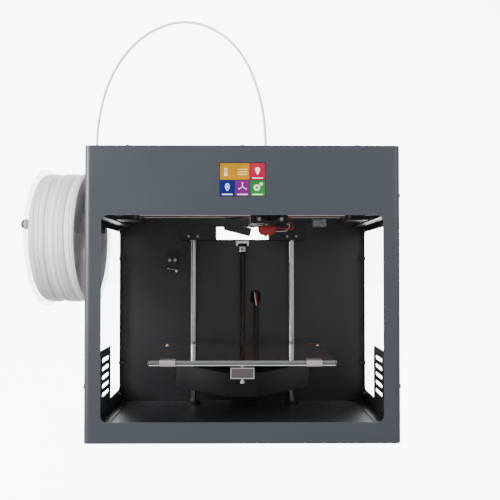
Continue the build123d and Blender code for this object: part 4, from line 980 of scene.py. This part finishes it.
def flat_piece(name, shapes, y, material):
    piece = mesh_piece(name, flat_bmesh(shapes, y), material, 30)
    place(piece, "frame", "screen_black")


def screen_tiles():
    # The tiles' names and their spans in X and Z; the orange one is two tiles wide.
    third = 2 * SCREEN_X / 3
    middle = (SCREEN_Z[0] + SCREEN_Z[1]) / 2 - 0.6
    half = TILE_GAP / 2
    top = (middle + half, SCREEN_Z[1])
    low = (SCREEN_Z[0], middle - half)
    first, second = -SCREEN_X + third, -SCREEN_X + 2 * third
    return {
        "orange": ((-SCREEN_X, second - half), top), "crimson": ((second + half, SCREEN_X), top),
        "blue": ((-SCREEN_X, first - half), low), "purple": ((first + half, second - half), low),
        "green": ((second + half, SCREEN_X), low),
    }


def screen_icons(tiles, mid):
    icons = thermometer(tiles["orange"][0][0] + 7.5, tiles["orange"][1][0] + 6.5)
    icons += pin_shape(mid["crimson"][0], mid["crimson"][1] + 2.2)
    icons += lamp_shape(mid["blue"][0], mid["blue"][1] + 2.2)
    icons += axes_shape(mid["purple"][0], mid["purple"][1] + 1.8)
    icons += gear(mid["green"][0] - 1.0, mid["green"][1] + 0.8, 4.0, 9)
    icons += gear(mid["green"][0] + 4.6, mid["green"][1] + 5.6, 2.1, 8)
    return icons


def screen_bars(tiles, mid):
    bars = []
    for name in ("blue", "purple", "green", "crimson"):
        x = (mid[name][0] - BAR_HALF_W, mid[name][0] + BAR_HALF_W)
        foot = tiles[name][1][0]
        bars.append(rounded_rect(x, (foot + BAR_Z[0], foot + BAR_Z[1]), 0.6))
    return bars


def screen_readouts(tiles):
    # Three short bars on the right half of the orange tile.
    x = (tiles["purple"][0][0] - TILE_GAP / 2 + 3.5, tiles["orange"][0][1] + TILE_GAP / 2 - 3)
    foot = tiles["orange"][1][0]
    rows = [foot + READOUT_STEP * k for k in range(3)]
    return [rounded_rect(x, (row + READOUT_Z[0], row + READOUT_Z[1]), 0.5) for row in rows]


def make_screen():
    tiles = screen_tiles()
    for name, (x, z) in tiles.items():
        flat_piece("screen_tile_" + name, [rounded_rect(x, z, 0.5)], SCREEN_FACE_Y, "tile_" + name)
    mid = {name: ((x[0] + x[1]) / 2, (z[0] + z[1]) / 2) for name, (x, z) in tiles.items()}
    icon_y = SCREEN_FACE_Y - ICON_LIFT
    flat_piece("screen_icons", screen_icons(tiles, mid), icon_y, "icon_white")
    flat_piece("screen_bars", screen_bars(tiles, mid), icon_y, "icon_white")
    flat_piece("screen_readouts", screen_readouts(tiles), icon_y, "icon_pale")


# Bed: sprung clips on the edges, and the dark plug in the beam

def bent_strip(name, profile, x, thickness, material):
    # A strip that follows a line in Y and Z, as wide as x says, with softened edges.
    bm = bmesh.new()
    outer = []
    inner = []
    for i, (y, z) in enumerate(profile):
        y0, z0 = profile[max(0, i - 1)]
        y1, z1 = profile[min(len(profile) - 1, i + 1)]
        length = math.hypot(y1 - y0, z1 - z0)
        dy = -(z1 - z0) / length * thickness
        dz = (y1 - y0) / length * thickness
        outer.append((y, z))
        inner.append((y + dy, z + dz))
    loop = outer + inner[::-1]
    face = bm.faces.new([bm.verts.new(metres((x[0], y, z))) for y, z in loop])
    thicken(bm, [face], (x[1] - x[0], 0, 0))
    bmesh.ops.recalc_face_normals(bm, faces=bm.faces)
    rims = [e for e in bm.edges if len(e.link_faces) == 2 and e.calc_face_angle() > math.radians(60)]
    bmesh.ops.bevel(bm, geom=rims, offset=0.22 * MM, segments=2, affect="EDGES")
    return mesh_piece(name, bm, material, 40)


def bend(y, z, start, end):
    # A strip's round bend in Y and Z, from one angle to the other.
    steps = 4
    points = []
    for k in range(steps + 1):
        turn = math.radians(start + (end - start) * k / steps)
        points.append((y + CLIP_BEND_R * math.cos(turn), z + CLIP_BEND_R * math.sin(turn)))
    return points


def make_front_clips():
    y = BED_FRONT_Y
    profile = [(y + 6.5, BED_TOP + 1.5), (y + 4.5, BED_TOP + 0.35), (y + 2, BED_TOP + 0.3)]
    profile += bend(y - 0.7, BED_TOP - 0.6, 90, 180)
    profile += bend(y - 0.7, BED_UNDER + 0.2, 180, 270)
    profile += [(y + 3, BED_UNDER - 0.65), (y + 6, BED_UNDER - 0.4)]
    for name, x in FRONT_CLIPS_X.items():
        span = (x - FRONT_CLIP_HALF_W, x + FRONT_CLIP_HALF_W)
        clip = bent_strip("front_clip_" + name, profile, span, -CLIP_THICKNESS, "clip_silver")
        place(clip, "bed", "bright_steel", *(("bed_clips",) if name == "left" else ()))


def make_rear_clips():
    y = BED_REAR_Y
    profile = [(y - 14, BED_TOP + 0.5), (y - 4, BED_TOP + 0.25)]
    profile += bend(y + 0.5, BED_TOP - 0.7, 90, 0)
    profile += bend(y + 0.5, BED_UNDER + 0.2, 0, -90)
    profile += [(y - 8, BED_UNDER - 0.7)]
    head = [(0.0001, 0), (2.6, 0), (2.6, 0.7), (2.0, 1.2), (0.9, 1.25), (0.8, 0.7)]
    for name, x in REAR_CLIPS_X.items():
        span = (x - REAR_CLIP_HALF_W, x + REAR_CLIP_HALF_W)
        clip = bent_strip("rear_clip_" + name, profile, span, CLIP_THICKNESS, "amber")
        place(clip, "bed", "bright_steel")
        at = Matrix.Translation(metres((x * 1.05, y - 24, BED_TOP + 0.02)))
        screw = mesh_piece("rear_clip_screw_" + name, lathe_bmesh(head, 28, at), "bright_steel", 30)
        place(screw, "bed", "bright_steel")


def socket_head(name, at, radius, height, body):
    # A socket-head screw that looks towards the front.
    hole = radius * 0.5
    profile = [
        (radius, 0), (radius, height * 0.8), (radius * 0.86, height), (hole, height),
        (hole * 0.9, height * 0.35),
    ]
    screw = mesh_piece(name, lathe_bmesh(profile, 24, towards_front(at)), "bright_steel", 30)
    place(screw, body, "bright_steel")


def make_small_screws():
    for index, at in enumerate(SWITCH_SCREWS):
        socket_head("switch_screw_%d" % index, at, 2.6, 1.75, "frame")
    for index, at in enumerate(BLOCK_SCREWS):
        socket_head("block_screw_%d" % index, at, 2.0, 2.0, "frame")


def make_beam_plug():
    # A thin flat cap over the beam's dark plug.
    inset = 0.3
    x = (BEAM_PLUG_X[0] + inset, BEAM_PLUG_X[1] - inset)
    z = (BEAM_PLUG_Z[0] + inset, BEAM_PLUG_Z[1] - inset)
    bm = flat_bmesh([rounded_rect(x, z, 0.8)], BEAM_PLUG_Y, 0.35)
    place(mesh_piece("beam_plug_face", bm, "plug_mauve", 30), "bed", "aluminium")


# Hot end: a soft moulded sock and loose wires

def make_sock():
    low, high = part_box("heater_sock")
    bm = bmesh.new()
    bmesh.ops.create_cube(bm, size=1.0)
    size = high - low
    centre = (low + high) / 2
    bmesh.ops.scale(bm, vec=size, verts=bm.verts)
    bmesh.ops.translate(bm, vec=centre, verts=bm.verts)
    bmesh.ops.subdivide_edges(bm, edges=bm.edges, cuts=7, use_grid_fill=True)
    for vertex in bm.verts:
        down = (high.z - vertex.co.z) / size.z
        pull = 1.0 - 0.28 * max(0.0, down - 0.62) / 0.38
        swell = 1.0 - 0.05 * math.cos(math.pi * min(1.0, down * 1.6)) ** 2
        vertex.co.x = centre.x + (vertex.co.x - centre.x) * pull * swell
        vertex.co.y = centre.y + (vertex.co.y - centre.y) * pull * swell
    axes = {"use_axis_x": True, "use_axis_y": True, "use_axis_z": True}
    for _ in range(2):
        bmesh.ops.smooth_vert(bm, verts=bm.verts, factor=0.5, **axes)
    sock = mesh_piece("soft_heater_sock", bm, "red_silicone", 80)
    place(sock, "print_head", "red_silicone", "heater_sock")
    lip = [(3.0, 276.0), (3.6, 274.9), (4.4, 274.9), (4.7, 275.8), (4.2, 276.6)]
    at = Matrix.Translation(metres(NOZZLE_AXIS))
    bm = lathe_bmesh(lip, 32, at, True)
    place(mesh_piece("sock_lip", bm, "red_silicone", 60), "print_head", "red_silicone")


def make_wires():
    for index, (name, material, radius, route) in enumerate(WIRES):
        piece = mesh_piece(name, tube_bmesh(nurbs_line(route), radius * MM, 12), material, 60)
        place(piece, "print_head", "red_wire", *(("heater_wires",) if index == 0 else ()))


make_camera()
make_guide_tube()
make_bed_cable()
dress_nodes()
make_winding()
make_thread()
make_collar()
make_screen()
make_front_clips()
make_rear_clips()
make_small_screws()
make_beam_plug()
make_sock()
make_wires()
make_floor()
make_world()
make_lights()
